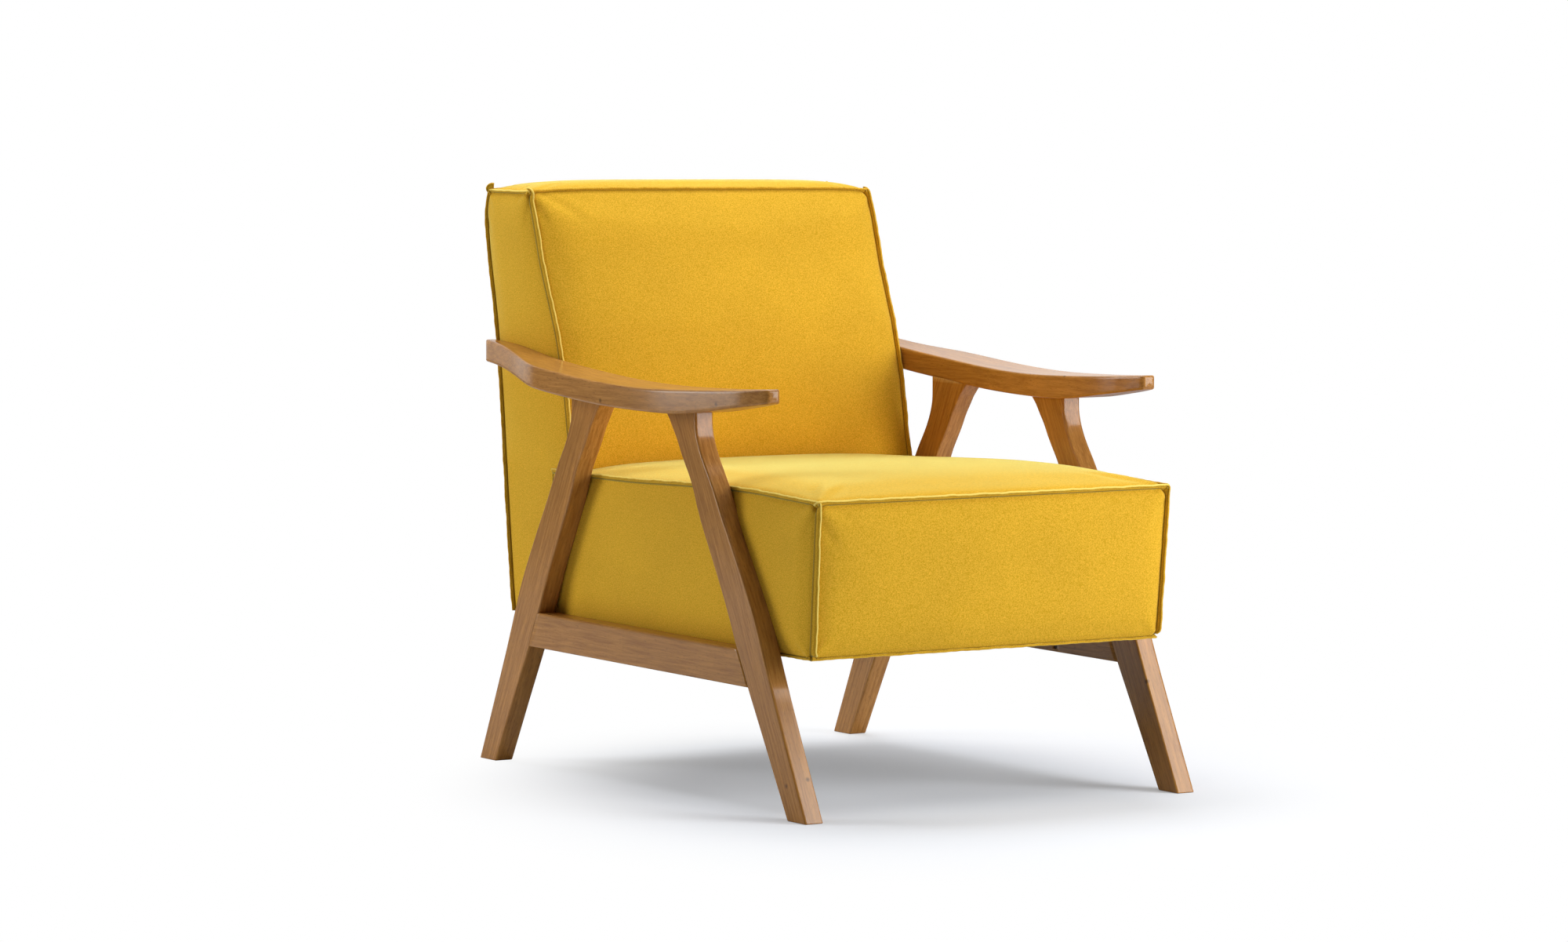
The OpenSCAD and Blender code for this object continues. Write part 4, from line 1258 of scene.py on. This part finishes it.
class ARMCHAIR_OT_back(bpy.types.Operator):
    """Fills and sews the back cushion"""

    bl_idname = "armchair.back"
    bl_label = "Back"

    def execute(self, context):
        sizes = context.scene.armchair_cover
        cloth = bpy.data.materials["Velour"]
        grids, s, line = back_grids()
        grids = inflated("back_fill", grids, ("front", "top", "left",
            "right", "rear", "rear_lower"), 3.0, uncut=[("rear", -1)])
        sewn_body("back_cushion", grids, cloth, ["back_cover", "back_foam",
            "back_left_padding", "back_right_padding", "back_top_padding"],
            {"left": "low", "left_low": "high", "right": "high",
                "right_low": "low", "rear": "high", "rear_lower": "low"})
        run = sizes.fin * 1000 * 0.7
        rows = [
            ("top_front", (UP, AHEAD), 0.8, 21, (run, run),
                {"pleats": (0.6, 1.0), "glint": 0.1}),
            ("top_rear", (UP, BACK), 1, 22, (run, run),
                {"share": 2.5, "pleats": (1.2, 1.0), "glint": 0.4}),
        ]
        lump = ((0, 1.1), (9, 1.25), (18, 0.8), (24, 0.78), (32, 1.0))
        for sign, at, glint, knot in ((1, "", 0.1, ()),
                (-1, "far_", 0.9, lump)):
            out = (sign, 0, 0)
            for way in (line, s):
                way[at + "rear"] = np.concatenate([
                    way[at + "rear_low"][:-1], way[at + "rear_side"]])
            rows += [
                (at + "front_side", (AHEAD, out), 1, 31 + sign, (0, 7),
                    {"share": 0.3 * sign, "pleats": (0, 1.0),
                        "taper": (1.0, 1.2), "glint": glint,
                        "knot": knot}),
                (at + "rear", (BACK, out), 0.75, 35 + sign, (0, 13),
                    {"pleats": (0, 0.8), "glint": 0.1}),
                (at + "top_side", (UP, out), 0.7, 39 + sign, (run, run),
                    {"pleats": (0.8, 1.0)}),
            ]
        sewn_fins("back_seams", rows, line, s, sizes, cloth, ["back_welt"])
        return {"FINISHED"}


class ARMCHAIR_OT_fittings(bpy.types.Operator):
    """Gives every carried-over part its real material"""

    bl_idname = "armchair.fittings"
    bl_label = "Fittings"

    def execute(self, context):
        # Zinc-plated steel, rolled: bluish grey with a faint mottle
        zinc = speckled("Zinc-plated steel", "#C9CCD0", "#A9AEB4", 400, 0.34,
            metal=1.0, bump=0.04)
        # Spunbonded polypropylene dust cloth, black
        spunbond = speckled("Spunbonded polypropylene", "#2E2E30",
            "#161618", 1100, 0.8, bump=0.5)
        looks = {
            "zinc_steel": zinc,
            "black_cloth": spunbond,
            # Sawn beech, unfinished: pale, with long soft streaks
            "raw_timber": speckled("Sawn beech", "#E2C9A0", "#C8A878", 40,
                0.7, bump=0.2, stretch=(1, 1, 0.2)),
            # Moulded nylon clips: milky and slightly glossy
            "clip_plastic": speckled("Moulded nylon", "#E8E6DE", "#D6D3C8",
                300, 0.45, ior=1.53, bump=0.03),
            # Needled wool felt: matt grey with short fibres
            "felt": speckled("Needled felt", "#9A958B", "#76716A", 900,
                0.95, bump=0.5),
            # Hardboard liner: brown, pressed smooth on one face
            "liner_board": speckled("Hardboard", "#B9935F", "#93703F", 500,
                0.6, bump=0.15),
        }
        parts = {p["node"]: looks.get(p["material_slot"])
            for p in frame["record"]["subparts"]}
        # Plugs turned from beech end grain, which takes the stain darkest
        parts["rail_plugs"] = speckled("Stained end grain", "#5E4128",
            "#46301D", 300, 0.6, bump=0.1)
        for node, piece in frame["nodes"].items():
            if parts[node] is not None:
                piece.data.materials.clear()
                piece.data.materials.append(parts[node])
        build_dust_cover(spunbond, zinc)
        return {"FINISHED"}


WHITE = linear("#FFFFFF")
FLOOR_HALF = 9
# a hair below the feet, so that no two faces share a plane
FLOOR_Z = -0.0002
# name, place, aim, watts, width, height
LAMPS = (
    ("Overhead softbox", (0.1, 1.0, 2.6), (0, 0, 0.4), 57, 2.4, 1.6),
    ("Forward softbox", (0.5, -0.6, 2.8), (0, 0, 0.4), 27, 2.4, 1.6),
    ("Front softbox", (1.4, -2.1, 1.0), (0, -0.1, 0.4), 50, 1.3, 1.5),
    ("Side softbox", (-2.85, 1.95, 1.2), (0, 0.1, 0.5), 54, 1.4, 1.8),
)
# mm from the middle of the feet, and the way the camera looks
CAMERA_AT = (-4273.5, -6615.3, 982.3)
CAMERA_WAY = (0.53482, 0.84179, -0.07316)


def seen_rays(tree):
    """The light path, and 1 for rays of the camera and through glass"""
    path = wire(tree, "LightPath").outputs
    return path, maths(tree, "MAXIMUM", path["Is Camera Ray"],
        path["Is Transmission Ray"])


def glowing(tree, strength, kind="Emission"):
    return wire(tree, kind, {"Color": WHITE, "Strength": strength}).outputs[0]


def mix_shaders(tree, share, a, b):
    return wire(tree, "MixShader", {0: share, 1: a, 2: b}).outputs[0]


def build_floor():
    """Seamless paper: matt white, its far part lost in the light"""
    material, tree = emptied(bpy.data.materials.new("Seamless paper"))
    place = wire(tree, "NewGeometry").outputs
    around = wire(tree, "Mapping",
        {"Vector": place["Position"], "Location": (0.03, -0.19, 0),
            "Rotation": (0, 0, -0.566), "Scale": (0.74, 1, 1)},
        vector_type="TEXTURE")
    far = wire(tree, "VectorMath", {0: around.outputs[0]},
        operation="LENGTH").outputs["Value"]
    fade = remap(tree, far, 0.38, 0.92, interpolation_type="SMOOTHSTEP")
    paper = wire(tree, "BsdfPrincipled",
        {"Base Color": linear("#CDD1D8"), "Roughness": 0.9,
            "Specular IOR Level": 0.0}).outputs[0]
    seen = seen_rays(tree)[1]
    lift = glowing(tree, maths(tree, "MULTIPLY", seen, 0.25))
    near = wire(tree, "AddShader", {0: paper, 1: lift}).outputs[0]
    above = mix_shaders(tree, maths(tree, "MULTIPLY", seen, fade), near,
        glowing(tree, 1.0))
    # clear from below, so that the underside can be looked at
    clear = wire(tree, "BsdfTransparent").outputs[0]
    sides = mix_shaders(tree, place["Backfacing"], above, clear)
    wire(tree, "OutputMaterial", {0: sides})
    mesh = bpy.data.meshes.new("floor")
    mesh.from_pydata([(x * FLOOR_HALF, y * FLOOR_HALF, FLOOR_Z)
        for x, y in ((-1, -1), (1, -1), (1, 1), (-1, 1))], [],
        [(0, 1, 2, 3)])
    mesh.materials.append(material)
    place_object("floor", mesh)


def build_room(light):
    """The room: even white to the eye, softer as a source of light, and
    white to glossy rays only in the direction the camera looks in"""
    world, tree = emptied(bpy.data.worlds.new("Studio"))
    path, direct = seen_rays(tree)
    way = wire(tree, "TexCoord").outputs["Generated"]
    behind = wire(tree, "VectorMath", {0: way, 1: (0.535, 0.842, 0)},
        operation="DOT_PRODUCT").outputs["Value"]
    sweep = remap(tree, behind, 0.6, 0.85, interpolation_type="SMOOTHSTEP")
    gloss = maths(tree, "MULTIPLY", path["Is Glossy Ray"], sweep)
    both = mix_shaders(tree, maths(tree, "MAXIMUM", direct, gloss),
        glowing(tree, 0.06 * light, "Background"),
        glowing(tree, 1.0, "Background"))
    wire(tree, "OutputWorld", {0: both})
    bpy.context.scene.world = world


class ARMCHAIR_OT_stage(bpy.types.Operator):
    """Sets the floor, the lamps and the camera"""

    bl_idname = "armchair.stage"
    bl_label = "Stage"

    def execute(self, context):
        sizes = context.scene.armchair_stage
        scene = context.scene
        scene.view_settings.view_transform = "Standard"
        build_floor()
        build_room(sizes.light)
        for name, at, aim, watts, wide, tall in LAMPS:
            lamp = bpy.data.lights.new(name, "AREA")
            lamp.shape = "RECTANGLE"
            lamp.size, lamp.size_y = wide, tall
            lamp.energy = watts * sizes.light
            holder = place_object(name, lamp)
            holder.location = at
            holder.rotation_euler = (
                Vector(aim) - Vector(at)).to_track_quat("-Z", "Y").to_euler()
        camera = bpy.data.cameras.new("Camera")
        camera.lens = sizes.lens
        camera.sensor_width = 36
        camera.clip_end = 60
        eye = place_object("Camera", camera)
        eye.location = to_frame(CAMERA_AT)
        eye.rotation_euler = Vector(CAMERA_WAY).to_track_quat(
            "-Z", "Y").to_euler()
        scene.camera = eye
        return {"FINISHED"}


class ARMCHAIR_PT_panel(bpy.types.Panel):
    """Lists the sizes and the steps"""

    bl_label = "Armchair"
    bl_idname = "ARMCHAIR_PT_panel"
    bl_space_type = "VIEW_3D"
    bl_region_type = "UI"
    bl_category = "Armchair"

    def draw(self, context):
        for group in GROUPS:
            sizes = getattr(context.scene, group)
            for name in sizes.bl_rna.properties.keys():
                if name not in ("rna_type", "name"):
                    self.layout.prop(sizes, name)
        for step in STEPS:
            self.layout.operator(step.bl_idname)


GROUPS = {
    "armchair_wood": WoodSizes,
    "armchair_cover": CoverSizes,
    "armchair_stage": StageSizes,
}
STEPS = (
    ARMCHAIR_OT_side_frames,
    ARMCHAIR_OT_seat,
    ARMCHAIR_OT_back,
    ARMCHAIR_OT_fittings,
    ARMCHAIR_OT_stage,
)


def register():
    for label, group in GROUPS.items():
        bpy.utils.register_class(group)
        setattr(bpy.types.Scene, label,
            bpy.props.PointerProperty(type=group))
    for step in STEPS + (ARMCHAIR_PT_panel,):
        bpy.utils.register_class(step)


def unregister():
    for step in reversed(STEPS + (ARMCHAIR_PT_panel,)):
        bpy.utils.unregister_class(step)
    for label, group in GROUPS.items():
        delattr(bpy.types.Scene, label)
        bpy.utils.unregister_class(group)


def main():
    register()
    bpy.ops.armchair.side_frames()
    bpy.ops.armchair.seat()
    bpy.ops.armchair.back()
    bpy.ops.armchair.fittings()
    bpy.ops.armchair.stage()


if __name__ == "__main__":
    main()
